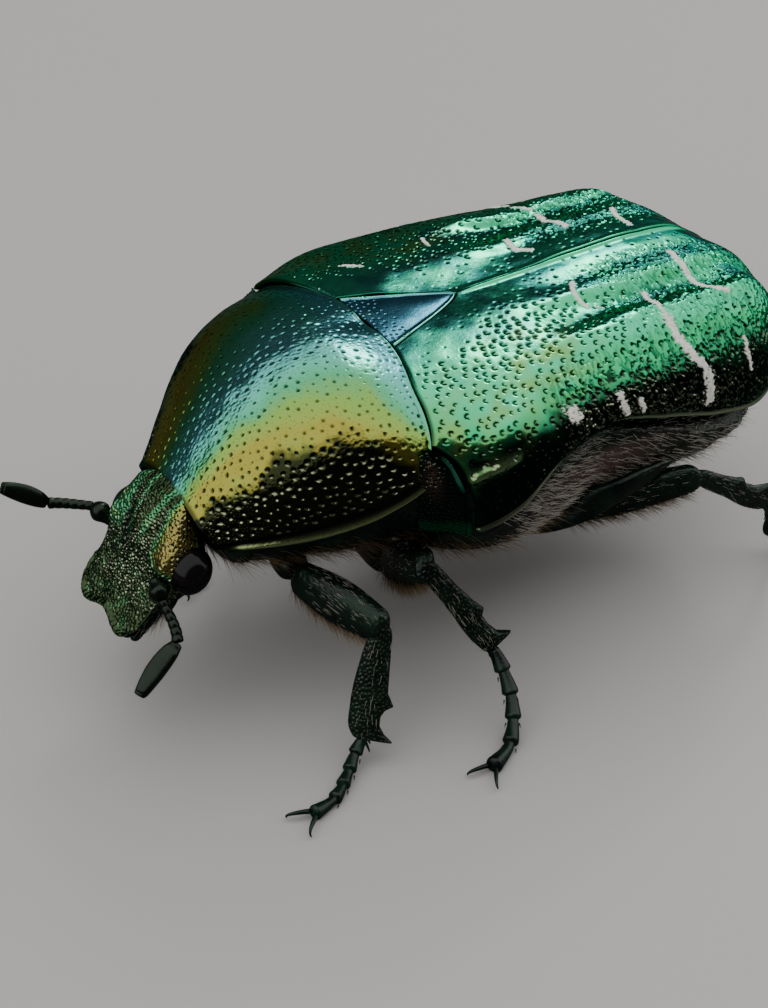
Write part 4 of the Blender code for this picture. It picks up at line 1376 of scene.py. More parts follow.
    # painted highlight on upward pit and wrinkle walls, along the margin's bead and on the shoulder arc
    lit = ease(raised(normals, changed, 1.3), 0.10, 0.80)
    glint = lit * np.clip(pit + wrinkle + 0.5 * low, 0, 1) * (0.55 + 0.30 * low) * (1 - front)
    lit_bead = 0.85 * bump(to_margin - 0.070, 0.028) * ease(y, 0.3, 1.5)
    glint = np.clip(glint + (lit_bead + 0.30 * arc) * (1 - white), 0, 1)
    # a yellow-green tint on the front slopes; the shoulder arc added to it is a painted highlight
    warm = (1 - ease(y, 3.0, 5.5)) * bump(out - 3.3, 1.3) * (0.45 + 0.55 * ripple(points, 0.7, 45))
    painted = {
        "turn": tone,
        "pit": pit * (1 - white),
        "shade": shade * (1 - white),
        "white": white,
        "glint": glint * (1 - white),
        "warm": np.clip(warm + arc, 0, 1),
    }
    points, painted = with_lip(changed, normals, painted, WING_CASE_LIP, (side * 1.8, 5.5, -2.0))
    shell = lay_grid(f"wing_case_{word}", points, painted)
    settle(shell, material, [f"elytron_{word}"])


# ---------------------------------------------------------------- head
def head_outline(u, v):
    """Places round the head: u runs round it from the face's middle, v down it to the clypeus edge."""
    angle = u * math.tau
    across = np.sin(angle)
    facing = np.cos(angle)
    down = smooth(FACE_END, np.abs(2 / math.pi * np.arcsin(np.clip(across, -1, 1)))) * v
    half_width = column(HEAD_STATIONS, 1, down)
    top = column(HEAD_STATIONS, 2, down)
    back = column(HEAD_STATIONS, 3, down)
    return across, facing, down, half_width, top, back


def head_skin(u, v):
    across, facing, down, half_width, top, back = head_outline(u, v)
    edge = top - 0.32 * (top + back)
    rounding = np.abs(facing) ** 0.55
    out = np.where(facing > 0, edge + (top - edge) * rounding, edge - (back + edge) * rounding)
    thin = ease(v, 0.90, 1.0)
    out = np.where(facing > 0, out, out * (1 - thin) + thin * (top - 0.16))
    place = face_point(half_width * across, down, out)
    return place[..., 0], place[..., 1], place[..., 2]


def build_head(colours):
    u, v, points = sample(head_skin, *HEAD_GRID)
    normals = grid_normals(points, closed=True)
    across, facing, down, half_width, _, _ = head_outline(u, v)
    x = half_width * across
    aside = np.abs(x)
    face = ease(facing, -0.35, -0.05)
    ridge = 0.08 * bump(aside, 0.34) * bump(down - 1.1, 0.8)
    temple = -0.08 * bump(aside - 0.70, 0.22) * bump(down - 1.2, 0.75)
    brow = 0.12 * bump(aside - 1.30, 0.16) * bump(down - 1.72, 0.34)
    cheek = -0.06 * bump(aside - 1.1, 0.3) * bump(down - 2.45, 0.3)
    side_edge = ease(np.abs(across), 0.975, 0.997) * ease(down, 2.75, 3.1)
    rim_edge = np.maximum(ease(v, 0.955, 0.985), side_edge) * ease(facing, -0.1, 0.1)
    dish = -0.06 * bump(aside - 0.55, 0.45) * bump(down - 3.35, 0.35)
    relief = face * (ridge + temple + brow + cheek + dish) + RIM_HEIGHT * rim_edge
    points = points + normals * relief[..., None]
    normals = grid_normals(points, closed=True)
    smooth_spot = bump(np.hypot(aside - 0.42, down - 3.36), 0.10)
    clypeus = ease(down, 2.9, 3.4)
    spacing = 0.072 + 0.035 * (1 - face) + 0.03 * ease(aside, 0.6, 0.9) * (1 - ease(down, 1.7, 2.1))
    places = scatter(points, spacing, 30000, 51, chance=0.15 + 0.85 * face)
    rng = np.random.default_rng(52)
    pit = stamp(points, places, rng.uniform(0.030, 0.050, len(places)), long_pit_across)
    pit = pit * (1 - rim_edge) * (1 - np.clip(smooth_spot, 0, 1)) * ease(v, 0.01, 0.05)
    pit = pit * (1 - 0.4 * clypeus)
    relief = -FACE_PIT_DEPTH * pit + 0.010 * face * ripple(points, 0.10, 53)
    changed = points + normals * relief[..., None]
    temple_zone = ease(aside, 0.58, 0.90) * (1 - ease(down, 1.70, 2.05)) * face
    # the right temple is painted less golden than the left: painted shade on one side
    temple_zone = temple_zone * (0.72 + 0.28 * np.sign(x))
    streak = bump(aside - (0.44 - 0.13 * down), 0.085) * (1 - ease(down, 1.3, 2.0)) * face
    tone = 0.22 + 0.10 * ripple(points, 0.5, 54) + 0.40 * streak
    tone = tone + temple_zone * (0.55 + 0.35 * ease(aside, 0.7, 1.2))
    tone = tone * (1 - rim_edge) + 0.18 * rim_edge
    # painted highlight specks on the pits' upward walls
    wall = ease(raised(normals, changed, 1.5), 0.20, 0.80)
    highlight_speck = wall * ease(ripple(points, 0.16, 55), -0.6, 0.4)
    glint = np.clip(highlight_speck, 0, 1) * face * (1 - rim_edge) * (1 - 0.2 * temple_zone)
    pit = pit * (0.84 + 0.12 * temple_zone)
    # painted shade on the back of the head, under the pronotum
    painted = {"turn": tone, "pit": pit, "shade": (1 - face) * 0.85, "white": 0, "glint": 0.80 * glint}
    head = lay_closed("head_shell", changed, painted)
    settle(head, head_finish(colours), ["head"])


def ball_block(centre, radii, around, along):
    """A block of points for an ellipsoid lying in the face's own directions."""
    turn = np.linspace(0, math.tau, around)
    rise = np.linspace(0, math.pi, along)[:, None]
    x = centre[0] + radii[0] * np.sin(rise) * np.cos(turn)
    down = centre[1] + radii[1] * np.cos(rise) + 0 * turn
    out = centre[2] + radii[2] * np.sin(rise) * np.sin(turn)
    return face_point(x, down, out)


def build_eyes(colours):
    material = eye_finish(colours)
    rim_material = bpy.data.materials["head_shell"]
    for side, word in SIDES:
        deselect()
        bpy.ops.mesh.primitive_uv_sphere_add(segments=72, ring_count=48, radius=1)
        eye = bpy.context.object
        eye.name = eye.data.name = f"eye_bead_{word}"
        flat = np.array([vert.co for vert in eye.data.vertices])
        centre = (side * EYE_CENTRE[0], *EYE_CENTRE[1:])
        place = face_point(*(centre[k] + EYE_RADII[k] * flat[:, k] for k in range(3)))
        eye.data.vertices.foreach_set("co", to_world(place).astype(np.float32).ravel())
        bpy.ops.object.mode_set(mode="EDIT")
        bpy.ops.mesh.select_all(action="SELECT")
        bpy.ops.mesh.normals_make_consistent(inside=False)
        bpy.ops.object.mode_set(mode="OBJECT")
        bpy.ops.object.shade_smooth()
        settle(eye, material, [f"eye_{word}"])
        angle = np.linspace(math.radians(60), math.radians(250), 60)
        rim = face_point(
            side * (EYE_CENTRE[0] + EYE_RIM_RADII[0] * np.cos(angle)),
            EYE_CENTRE[1] + EYE_RIM_RADII[1] * np.sin(angle),
            EYE_CENTRE[2] + EYE_RIM_OUT,
        )
        full = round_ends(60, 0.3, 0.3)
        block = tube_block(rim, 0.040 * full, 0.035 * full, (0, 0, 1), 16)
        # the rim gets a painted highlight
        lid = lay_closed(f"eye_rim_{word}", block, {"turn": 0.85, "glint": 0.25})
        settle(lid, rim_material)


def bead_chain(path, radii, beads, depth):
    """Half-widths along a path that swell at each bead and pinch between them."""
    t = np.linspace(0, beads, len(path))
    pinch = np.abs(np.sin(t * math.pi)) ** 0.5
    return radii * (1 - depth + depth * pinch)


def build_antennae(colours):
    material = cuticle_finish(colours, "feeler_gloss", green=0.75, coat=0.25)
    plain = {"pit": 0.75, "glint": 0}
    for side, word in SIDES:
        knots = np.array([(side * x, y, z) for x, y, z in ANTENNAE[side]])
        count = 30
        t = np.linspace(0, 1, count)
        bulb_path = spline_path((knots[0], knots[0] * 0.45 + knots[1] * 0.55, knots[1]), count)
        bulb = (0.13 + 0.14 * bump(t - 0.60, 0.30)) * round_ends(count, 0.12, 0.20)
        pieces = [lay_closed("scape", tube_block(bulb_path, bulb, bulb, (0, 0, 1), 30), plain)]
        stalk_path = spline_path((knots[0] * 0.1 + knots[1] * 0.9, *knots[2:4]), 110)
        stalk = bead_chain(stalk_path, np.linspace(0.120, 0.150, 110), 6, 0.14) * round_ends(110, 0.05, 0.05)
        pieces.append(lay_closed("stalk", tube_block(stalk_path, stalk, stalk, (0, 0, 1), 24), plain))
        heading = unit(knots[4] - knots[3])
        stack = unit(CLUB_FACE - heading * (CLUB_FACE @ heading))
        broad = np.cross(heading, stack)
        for leaf in (-1, 0, 1):
            share = dome_spacing(50, 0.14, 0.10)[:, None]
            apart = stack * (leaf * CLUB_LEAF_STEP) * ease(share, 0.0, 0.22)
            path = knots[3] + (knots[4] - knots[3]) * share + apart
            path = path - heading * (0.06 * abs(leaf)) * share + broad * 0.04 * np.sin(share * math.pi)
            swell = np.sin((0.12 + 0.74 * share[:, 0] ** 0.9) * math.pi) ** 0.6 * round_ends(50, 0.08, 0.10)
            thick = (0.080 if leaf else 0.072) * round_ends(50, 0.08, 0.12)
            block = tube_block(path, CLUB_HALF_WIDTH * swell, thick, broad, 30, 2.5)
            pieces.append(lay_closed("leaf", block, plain))
        feeler = joined(f"feeler_{word}", pieces)
        settle(feeler, material, [f"antenna_{word}", f"antenna_club_{word}"])


def build_mouth(colours):
    """Lower face, the palps and the chin under the clypeus."""
    material = cuticle_finish(colours, "mouth_cuticle", green=0.25)
    pieces = []
    block = ball_block((0, 3.05, -0.82), (0.82, 0.62, 0.36), 60, 40)
    pieces.append(lay_closed("chin", block))
    for side, _ in SIDES:
        block = ball_block((side * 0.72, 2.75, -0.95), (0.42, 0.62, 0.34), 40, 30)
        pieces.append(lay_closed("maxilla", block))
        for root, tip, thick, joints in (
            ((0.80, 3.15, -0.85), (0.86, 4.06, -0.62), 0.115, 3),
            ((1.12, 2.75, -0.72), (1.02, 3.62, -0.55), 0.10, 3),
        ):
            start = face_point(side * root[0], root[1], root[2])
            end = face_point(side * tip[0], tip[1], tip[2])
            middle = (start + end) / 2 + np.array([side * 0.10, -0.02, -0.06])
            path = spline_path((start, middle, end), 60)
            t = np.linspace(0, 1, 60)
            radii = bead_chain(path, thick * (0.8 + 0.35 * t), joints, 0.32) * round_ends(60, 0.06, 0.14)
            pieces.append(lay_closed("palp", tube_block(path, radii, radii * 0.85, (0, 0, 1), 22)))
    mouth = joined("mouth_parts", pieces)
    settle(mouth, material, ["mouthparts"])


# ---------------------------------------------------------------- trunk
def trunk_block(stations, across, along, steps=()):
    """The trunk's surface: flat above, round below, wider under the wing cases and stepped on the belly."""
    ys = np.linspace(stations[0][0], stations[-1][0], along)[:, None]
    turn = np.linspace(0, math.tau, across)[None]
    half_width, top, bottom = (column(stations, k, ys) for k in (1, 2, 3))
    middle = bottom + 0.55 * (top - bottom)
    shelf = np.where(ys > 0, column(WING_CASE_STATIONS, 5, ys) - 0.28, bottom)
    rise = np.sign(np.cos(turn)) * np.abs(np.cos(turn)) ** 0.9
    step = np.zeros_like(ys)
    for edge in steps:
        step = np.where(ys >= edge, STERNITE_STEP * np.clip(1 - (ys - edge) / 0.9, 0, 1), step)
    z = middle + rise * np.where(rise > 0, top - middle, middle - bottom - step)
    below = np.clip((shelf - z) / 0.35, 0, 1)
    wide = half_width - 0.5 * step + FLANK_SWELL * below * np.abs(np.sin(turn))
    x = wide * np.sign(np.sin(turn)) * np.abs(np.sin(turn)) ** 0.8
    return np.stack([x, ys + 0 * x, z], axis=-1)


def closed_block(block):
    """A tube's block with its two ends drawn in to points."""
    ends = [block[:1].mean(axis=1, keepdims=True), block[-1:].mean(axis=1, keepdims=True)]
    wide = np.ones((1, block.shape[1], 1))
    return np.concatenate([ends[0] * wide, block, ends[1] * wide])


TRUNK_PARTS = (  # name, stations, points across and along, steps on its belly, node
    ("prothorax_plates", PROTHORAX_STATIONS, 300, 150, (), "prothorax"),
    ("thorax_plates", THORAX_STATIONS, 340, 190, (), "thorax"),
    ("belly_plates", ABDOMEN_STATIONS, 320, 240, STERNITE_EDGES, "abdomen"),
)


def build_trunk(colours):
    material = cuticle_finish(colours, "belly_cuticle", green=0.4)
    for name, stations, across, along, steps, node in TRUNK_PARTS:
        block = trunk_block(stations, across, along, steps)
        normals = grid_normals(block, closed=True)
        under = ease(-block[..., 2], 1.6, 2.4)
        places = scatter(block, 0.17, 9000, 61, chance=0.02 + under)
        rng = np.random.default_rng(62)
        pit = stamp(block, places, rng.uniform(0.05, 0.08, len(places)), round_pit)
        height = block[..., 2]
        scaly = bump(block[..., 1] - 4.6, 1.9) * ease(-height, 2.9, 3.3) * (1 - ease(-height, 4.6, 5.1))
        scales = np.sin((block[..., 1] + 0.5 * height + 0.06 * ripple(block, 0.4, 64)) * math.tau / 0.15)
        relief = -0.02 * pit * (1 - scaly) + 0.012 * ripple(block, 0.5, 63) + 0.016 * scaly * scales
        painted = {"pit": pit * (1 - scaly), "scaly": scaly}
        painted = {key: np.pad(value, ((1, 1), (0, 0))) for key, value in painted.items()}
        plates = lay_closed(name, closed_block(block + normals * relief[..., None]), painted)
        settle(plates, material, [node])
    centre, radii = (np.array(part) for part in STERNAL_KNOB)
    path = centre + np.outer(2 * dome_spacing(30, 0.3, 0.3) - 1, (0, radii[1], 0))
    swell = round_ends(30, 0.5, 0.5)
    knob = lay_closed("sternal_knob", tube_block(path, radii[0] * swell, radii[2] * swell, (1, 0, 0), 40))
    settle(knob, material)


def pygidium_skin(u, v):
    across = 2 * u - 1
    y = column(PYGIDIUM_STATIONS, 1, v) - 0.35 * across**2
    x = across * column(PYGIDIUM_STATIONS, 3, v)
    return x, y, column(PYGIDIUM_STATIONS, 2, v)


def mesepimeron_skin(side):
    top = 0.0 if side > 0 else 0.22

    def skin(u, v):
        v = top + (1 - top) * v
        front = [column(MESEPIMERON, k, v) for k in (1, 2, 3)]
        hind = [column(MESEPIMERON, k, v) for k in (4, 5, 6)]
        x, y, z = (a + (b - a) * u for a, b in zip(front, hind))
        return side * (x + 0.14 * np.sin(u * math.pi) * np.sin(v * math.pi) - 0.03), y, z

    return skin


def build_small_plates(colours):
    stops = (
        (0.0, colours.scale_brown),
        (0.3, colours.black_green),
        (0.55, colours.black_green),
        (0.70, colours.deep_green),
        (0.97, colours.mint),
    )
    material = shell_finish("flank_shell", colours, stops)
    for side, word in SIDES:
        u, v, points = sample(mesepimeron_skin(side), *MESEPIMERON_GRID)
        normals = grid_normals(points)
        if (normals[..., 0] * side).mean() < 0:
            normals = -normals
        rng = np.random.default_rng(71)
        places = scatter(points, 0.10, 1600, 72)
        pit = stamp(points, places, rng.uniform(0.03, 0.045, len(places)), round_pit) * (u < 0.84)
        rim = ease(u + 0.02 * ripple(points, 0.4, 76), 0.86, 0.92)
        scaly = bump(u - 0.35, 0.3) * bump(v - 0.35, 0.28)
        relief = -0.022 * pit + 0.05 * rim + 0.01 * scaly * ripple(points, 0.07, 77)
        changed = points + normals * relief[..., None]
        # the rim is painted lighter on its upper part as a painted highlight, and the pits' upward walls get
        # a painted highlight
        tone = 0.45 - 0.45 * scaly + 0.5 * rim * ease(v, 0.10, 0.25) * (1 - ease(v, 0.40, 0.60))
        tone = tone + 0.20 * ease(v, 0.72, 0.92)
        glint = 0.35 * raised(normals, changed, 1.0) * pit
        painted = {"turn": tone, "pit": pit, "shade": 0.0 * pit, "white": 0.0 * pit, "glint": glint}
        points, painted = with_lip(changed, normals, painted, PLATE_LIP, (side * 2.5, 0.2, -2.6))
        plate = lay_grid(f"mesepimeron_shell_{word}", points, painted)
        settle(plate, material, [f"mesepimeron_{word}"])
    _, _, points = sample(pygidium_skin, *PYGIDIUM_GRID)
    normals = grid_normals(points)
    if normals[..., 1].mean() < 0:
        normals = -normals
    rng = np.random.default_rng(74)
    places = scatter(points, 0.11, 2500, 73)
    pit = stamp(points, places, rng.uniform(0.035, 0.055, len(places)), round_pit)
    white = np.zeros_like(pit)
    for side, _ in SIDES:
        spot = np.hypot(points[..., 0] - side * 0.95, (points[..., 2] + 4.35) * 1.3)
        white = np.maximum(white, ease(0.24 - spot + 0.06 * ripple(points, 0.12, 75), 0, 0.05))
    points = points + normals * (-0.02 * pit + 0.012 * white)[..., None]
    nothing = 0.0 * pit
    painted = {
        "turn": 0.5 + nothing,
        "pit": pit * (1 - white),
        "shade": nothing,
        "white": white,
        "glint": nothing,
    }
    points, painted = with_lip(points, normals, painted, PLATE_LIP, (0, 10.0, -4.0))
    plate = lay_grid("pygidium_shell", points, painted)
    settle(plate, material, ["pygidium"])


# ---------------------------------------------------------------- legs
def mirrored(side, point):
    return np.array([side * point[0], point[1], point[2]], float)


LIMB_ENDS = (0.10, 0.10)  # shares of a segment's length over which its ends are domed


def limb_block(start, end, widths, depth_share, broad_side, around, along):
    """A leg segment's block of points, domed at both ends, with the share along it of each of its rings."""
    share = dome_spacing(along, *LIMB_ENDS)
    path = start + (end - start) * share[:, None]
    half = smooth(tuple(zip((0.0, 0.5, 1.0), widths)), share)
    full = fullness(share, *LIMB_ENDS)
    return tube_block(path, half * full, half * full * depth_share, broad_side, around, 2.3), share


def pitted(block, spacing, radius, depth, seed, count=4000):
    """Presses elongated pits into a closed block. Returns it with the pits and a painted highlight on their
    upward walls, to paint.
    """
    normals = grid_normals(block, closed=True)
    places = scatter(block, spacing, count, seed)
    rng = np.random.default_rng(seed + 1)
    pit = stamp(block, places, rng.uniform(0.8, 1.2, len(places)) * radius, long_pit)
    changed = block - normals * (depth * pit)[..., None]
    return changed, {"pit": pit, "glint": raised(normals, changed, 0.9, closed=True) * pit}


def build_tibia(pair, side, seed):
    """A tibia whose outer edge runs out into teeth, with the two spurs at its end."""
    _, knee, ankle, _ = LEGS[pair, side]
    knee, ankle = mirrored(side, knee), mirrored(side, ankle)
    along = unit(ankle - knee)
    knee = knee - along * KNEE_OVERLAP
    broad_side = mirrored(side, BROAD_SIDE[pair])
    out = unit(broad_side - along * (broad_side @ along))
    across = np.cross(along, out)
    share = dome_spacing(TIBIA_GRID[1], *TIBIA_ENDS, share=0.10)
    full = fullness(share, *TIBIA_ENDS)
    turn = np.linspace(0, math.tau, TIBIA_GRID[0])
    outer = np.interp(share, *np.array(TIBIA_OUTER[pair]).T)
    trunk_width = np.minimum(outer, 0.30 + 0.10 * share)
    inner = smooth(TIBIA_INNER[pair], share)
    cos = np.cos(turn)
    reach = np.where(
        cos > 0,
        trunk_width[:, None] * cos + (outer - trunk_width)[:, None] * np.maximum(cos, 0) ** 2.5,
        inner[:, None] * cos,
    )
    waist = 1 - 0.15 * bump(share - 0.08, 0.05)
    half_depth = TIBIA_DEPTH[pair] * (0.75 + 0.3 * share) * waist
    depth = half_depth[:, None] * np.sign(np.sin(turn)) * np.abs(np.sin(turn)) ** 0.8
    path = knee + (ankle - knee) * share[:, None]
    block = (
        path[:, None]
        + out * (full[:, None] * reach)[..., None]
        + across * (full[:, None] * depth)[..., None]
    )
    block = block + along * (0.16 * np.clip(reach - 0.30, 0, 1) * ease(share, 0.5, 0.7)[:, None])[..., None]
    block, painted = pitted(block, 0.085, 0.050, 0.020, seed)
    pieces = [lay_closed("shaft", block, painted)]
    for sign in (-1, 1):
        root = ankle - along * 0.16 - out * 0.10 + across * (sign * 0.10)
        tip = root + along * SPUR_LENGTH[pair] + out * SPUR_LEAN[pair] + across * (sign * 0.14)
        spur = cone(root, tip, 0.070, 0.014, bend=out * 0.03, around=12, along=12)
        pieces.append(lay_closed("spur", spur))
    return pieces


def build_tarsus(pair, side):
    """Five joints that widen towards their ends, with little spines, and two claws."""
    _, _, _, tarsus = LEGS[pair, side]
    path = spline_path([mirrored(side, point) for point in tarsus], 121)
    radius = TARSUS_RADIUS[pair]
    pieces = []
    for joint, (first, last) in enumerate(TARSUS_JOINTS):
        stretch = path[first : last + 1]
        t = np.linspace(0, 1, len(stretch))
        swell = radius * (0.62 + 0.50 * t**1.2) * round_ends(len(stretch), 0.14, 0.16)
        if joint == 4:
            swell = radius * (0.62 + 0.55 * t**1.5) * round_ends(len(stretch), 0.10, 0.12)
        block = tube_block(stretch, swell, swell * 0.92, (0.1, 0.1, 1), 24)
        block[..., 2] = np.maximum(block[..., 2], 0.004 - BACK_HEIGHT)
        pieces.append(lay_closed("joint", block))
        if joint < 4:
            end, heading = stretch[-3], unit(stretch[-1] - stretch[-4])
            for sign in (-1, 1):
                aside = unit(np.cross(heading, (0, 0, 1))) * sign
                root = end + aside * radius * 0.7 - np.array([0, 0, radius * 0.5])
                tip = root + heading * 0.15 + aside * 0.05 - np.array([0, 0, 0.04])
                tip[2] = max(tip[2], 0.02 - BACK_HEIGHT)
                root[2] = max(root[2], 0.04 - BACK_HEIGHT)
                pieces.append(lay_closed("bristle", cone(root, tip, 0.026, 0.008, around=6, along=5)))
    tip = path[-1]
    heading = unit((path[-1] - path[-8]) * (1, 1, 0))
    across = np.array([-heading[1], heading[0], 0])
    for sign in (-1, 1):
        root = tip - heading * 0.08 + across * (sign * 0.07)
        end = tip + (heading * 0.62 + across * (sign * 0.62)) * CLAW_LENGTH
        end[2] = 0.03 - BACK_HEIGHT
        bend = across * (sign * 0.10) + heading * 0.24 + np.array([0, 0, 0.10])
        pieces.append(lay_closed("claw", cone(root, end, 0.070, 0.012, bend=bend, around=14, along=20)))
    return pieces


def build_legs(colours):
    material = cuticle_finish(colours, "leg_cuticle", green=0.45)
    gloss = cuticle_finish(colours, "claw_cuticle", green=0.2)
    coxa_material = cuticle_finish(colours, "coxa_cuticle", green=0.5)
    for number, ((pair, side), (hip, knee, _, _)) in enumerate(LEGS.items()):
        word = "left" if side > 0 else "right"
        knots, half_width, half_depth = COXAE[pair]
        path = spline_path([mirrored(side, knot) for knot in knots], 60)
        full = round_ends(60, 0.2, 0.2) * (1 - (1 - COXA_POINT[pair]) * np.linspace(0, 1, 60) ** 2)
        flat = np.linspace((0, 1, 0.1), COXA_TURN[pair], 60)
        block = tube_block(path, half_width * full, half_depth * full, flat, 60, 2.2)
        block, painted = pitted(block, 0.11, 0.045, 0.014, 80 + number)
        coxa = lay_closed(f"coxa_{pair}_{word}_shell", block, painted)
        settle(coxa, coxa_material, [f"coxa_{pair}_{word}"])
        hip, knee = mirrored(side, hip), mirrored(side, knee)
        knee = knee + unit(knee - hip) * KNEE_OVERLAP
        block, _ = limb_block(hip, knee, FEMUR_WIDTHS[pair], FEMUR_DEPTH, FEMUR_SIDE, 60, 120)
        block, painted = pitted(block, 0.11, 0.06, 0.018, 90 + number)
        femur = lay_closed(f"femur_{pair}_{word}_shell", block, painted)
        settle(femur, material, [f"femur_{pair}_{word}"])
        tibia = joined(f"tibia_{pair}_{word}_shell", build_tibia(pair, side, 100 + number))
        settle(tibia, material, [f"tibia_{pair}_{word}"])
        tarsus = joined(f"tarsus_{pair}_{word}_shell", build_tarsus(pair, side))
        settle(tarsus, gloss, [f"tarsus_{pair}_{word}"])


# ---------------------------------------------------------------- fur
def comb(name, block, count, chance, lengths, lean, radius, material, seed, pull=(0, 0, 0), curl=0.15):
    """Lays hairs over a closed block of points. lean is how far they stand up, from 0 to 1."""
    normals = grid_normals(block, closed=True)
    spots, facing, along, unwrap, rng = roots_on(block, normals, count, seed, chance + 1e-7)
    heading = facing * lean + along * (1 - lean) + rng.normal(size=(count, 3)) * 0.14 + np.array(pull)
    size = rng.uniform(*lengths, count)
    hair = add_hair(name, spots, unwrap, heading, size, radius, seed + 1, curl, 0.10)
    settle(hair, material)


def build_fur(sizes, colours):
    thin = sizes.hair_radius / MM
    pale = hair_finish("silky_hair", colours.hair_pale_root, colours.hair_pale)
    gold = hair_finish("golden_hair", colours.hair_dark, colours.hair_gold)
    for _, stations, _, _, steps, node in TRUNK_PARTS:
        block = trunk_block(stations, 160, 90, steps)
        normals = grid_normals(block, closed=True)
        z, y = block[..., 2], block[..., 1]
        side = np.abs(normals[..., 0])
        shelf = np.where(y > 0, column(WING_CASE_STATIONS, 5, y), -3.5)
        patch = 0.30 + 0.70 * (1 - ease(shelf - z, 0.5, 0.9))
        flank = ease(shelf + 0.10 - z, 0.0, 0.2) * ease(side, 0.45, 0.75) * ease(y, 1.2, 2.2) * patch
        rows = 0.25 + 0.75 * ease(np.sin(y * math.tau / 1.2), 0.2, 0.8)
        belly = ease(-z, 3.9, 4.9) * (1 - ease(y, 4.4, 5.4) * (1 - 0.4 * rows))
        if node != "prothorax":
            name, thick = f"hair_{node}_flank", 1.4 * thin
            comb(name, block, 2000, flank, (0.26, 0.50), 0.10, thick, pale, 201, (0, 0.1, -0.25))
        name = f"hair_{node}_belly"
        comb(name, block, 1500, belly, (0.35, 0.75), 0.40, thin, gold, 203, (0, 0.30, -0.12), 0.25)
    for number, ((pair, side), (hip, knee, ankle, _)) in enumerate(LEGS.items()):
        word = "left" if side > 0 else "right"
        hip, knee, ankle = (mirrored(side, point) for point in (hip, knee, ankle))
        block, share = limb_block(hip, knee, FEMUR_WIDTHS[pair], FEMUR_DEPTH, FEMUR_SIDE, 60, 80)
        normals = grid_normals(block, closed=True)
        under = ease(-normals[..., 2], 0.1, 0.7) * (1 - ease(share, 0.88, 0.96))[:, None]
        upper = ease(normals[..., 2], -0.3, 0.6) * ease(share, 0.1, 0.3)[:, None]
        name = f"hair_femur_{pair}_{word}"
        seed = 210 + number
        comb(name + "_fringe", block, 700, under, (0.25, 0.50), 0.30, thin, gold, seed, (0, 0, -0.28))
        seed = 230 + number
        comb(name + "_top", block, 190, upper, (0.12, 0.26), 0.05, 0.8 * thin, pale, seed)
        broad_side = mirrored(side, BROAD_SIDE[pair])
        block, share = limb_block(knee, ankle, (0.26, 0.30, 0.34), 0.6, broad_side, 40, 60)
        whole = np.ones(block.shape[:2]) * ease(share, 0.05, 0.15)[:, None]
        seed = 260 + number
        comb(f"hair_tibia_{pair}_{word}", block, 130, whole, (0.12, 0.24), 0.18, 0.8 * thin, pale, seed)
    for side, word in SIDES:
        block = ball_block((side * 0.85, 2.95, -0.80), (0.34, 0.42, 0.25), 40, 30)
        normals = grid_normals(block, closed=True)
        count = 240
        spots, facing, _, unwrap, rng = roots_on(block, normals, count, 250, np.ones(block.shape[:2]))
        down = unit(NOTCH - VERTEX)
        heading = facing * 0.25 + down * 0.9 + rng.normal(size=(count, 3)) * 0.12
        lengths = 0.55 * rng.uniform(0.6, 1.2, count)
        hair = add_hair(f"hair_mouth_{word}", spots, unwrap, heading, lengths, thin, 251, 0.15, 0.1)
        settle(hair, pale)


# ---------------------------------------------------------------- stage
CAMERA_PLACE = (35.009, -23.637, 26.327)  # in the beetle's frame, millimetres
CAMERA_RIGHT = (0.54932, 0.83477, 0.03753)
CAMERA_DOWN = (0.52078, -0.30688, -0.79663)
CAMERA_AHEAD = (-0.65348, 0.45715, -0.60331)
FOCAL_PIXELS = 2000.0
FRAME_HEIGHT = 1008.0
SENSOR = 36.0
FLOOR_SIZE = 2.4  # metres


def area_light(name, direction, distance, size, power, colour):
    """A soft panel in a direction from the beetle, facing it. size is its width and height in metres."""
    data = bpy.data.lights.new(name, "AREA")
    data.shape = "RECTANGLE"
    data.size, data.size_y = size
    data.energy = power
    data.color = colour
    lamp = bpy.data.objects.new(name, data)
    bpy.context.scene.collection.objects.link(lamp)
    direction = Vector(direction).normalized()
    lamp.location = direction * distance
    lamp.rotation_mode = "QUATERNION"
    lamp.rotation_quaternion = direction.to_track_quat("Z", "Y")
    return lamp


def floor_finish(colours):
    finish = Finish("studio_floor", Roughness=0.7)
    cloud = finish.noise(0.03, 3.0)
    plain = finish.mix(colours.floor, tuple(0.96 * c for c in colours.floor), cloud)
    # seen in reflections the floor turns dark: a painted dark reflection
    mirrored_ray = finish.node("ShaderNodeLightPath", output="Is Glossy Ray")
    finish.set(Base_Color=finish.mix(plain, tuple(0.10 * c for c in colours.floor), mirrored_ray))
    return finish.material


KEY_TILT = (-0.52, 0.565, 0.64)  # direction of the bright soft spot
KEY_FOCUS, KEY_POWER = 220.0, 7.5
STRIP_RIGHT = (-0.68, -0.56)  # where the strip's right side starts and is full, as x of a direction
STRIP_LEFT = (0.48, 0.66)  # where its left side fades and ends
STRIP_SKEW = 0.10  # how much its left side leans with y
STRIP_FLOOR = (0.02, 0.20)  # where it starts and is full above the horizon, as z of a direction
STRIP_POWER, DIM_AIR = 1.3, 0.046


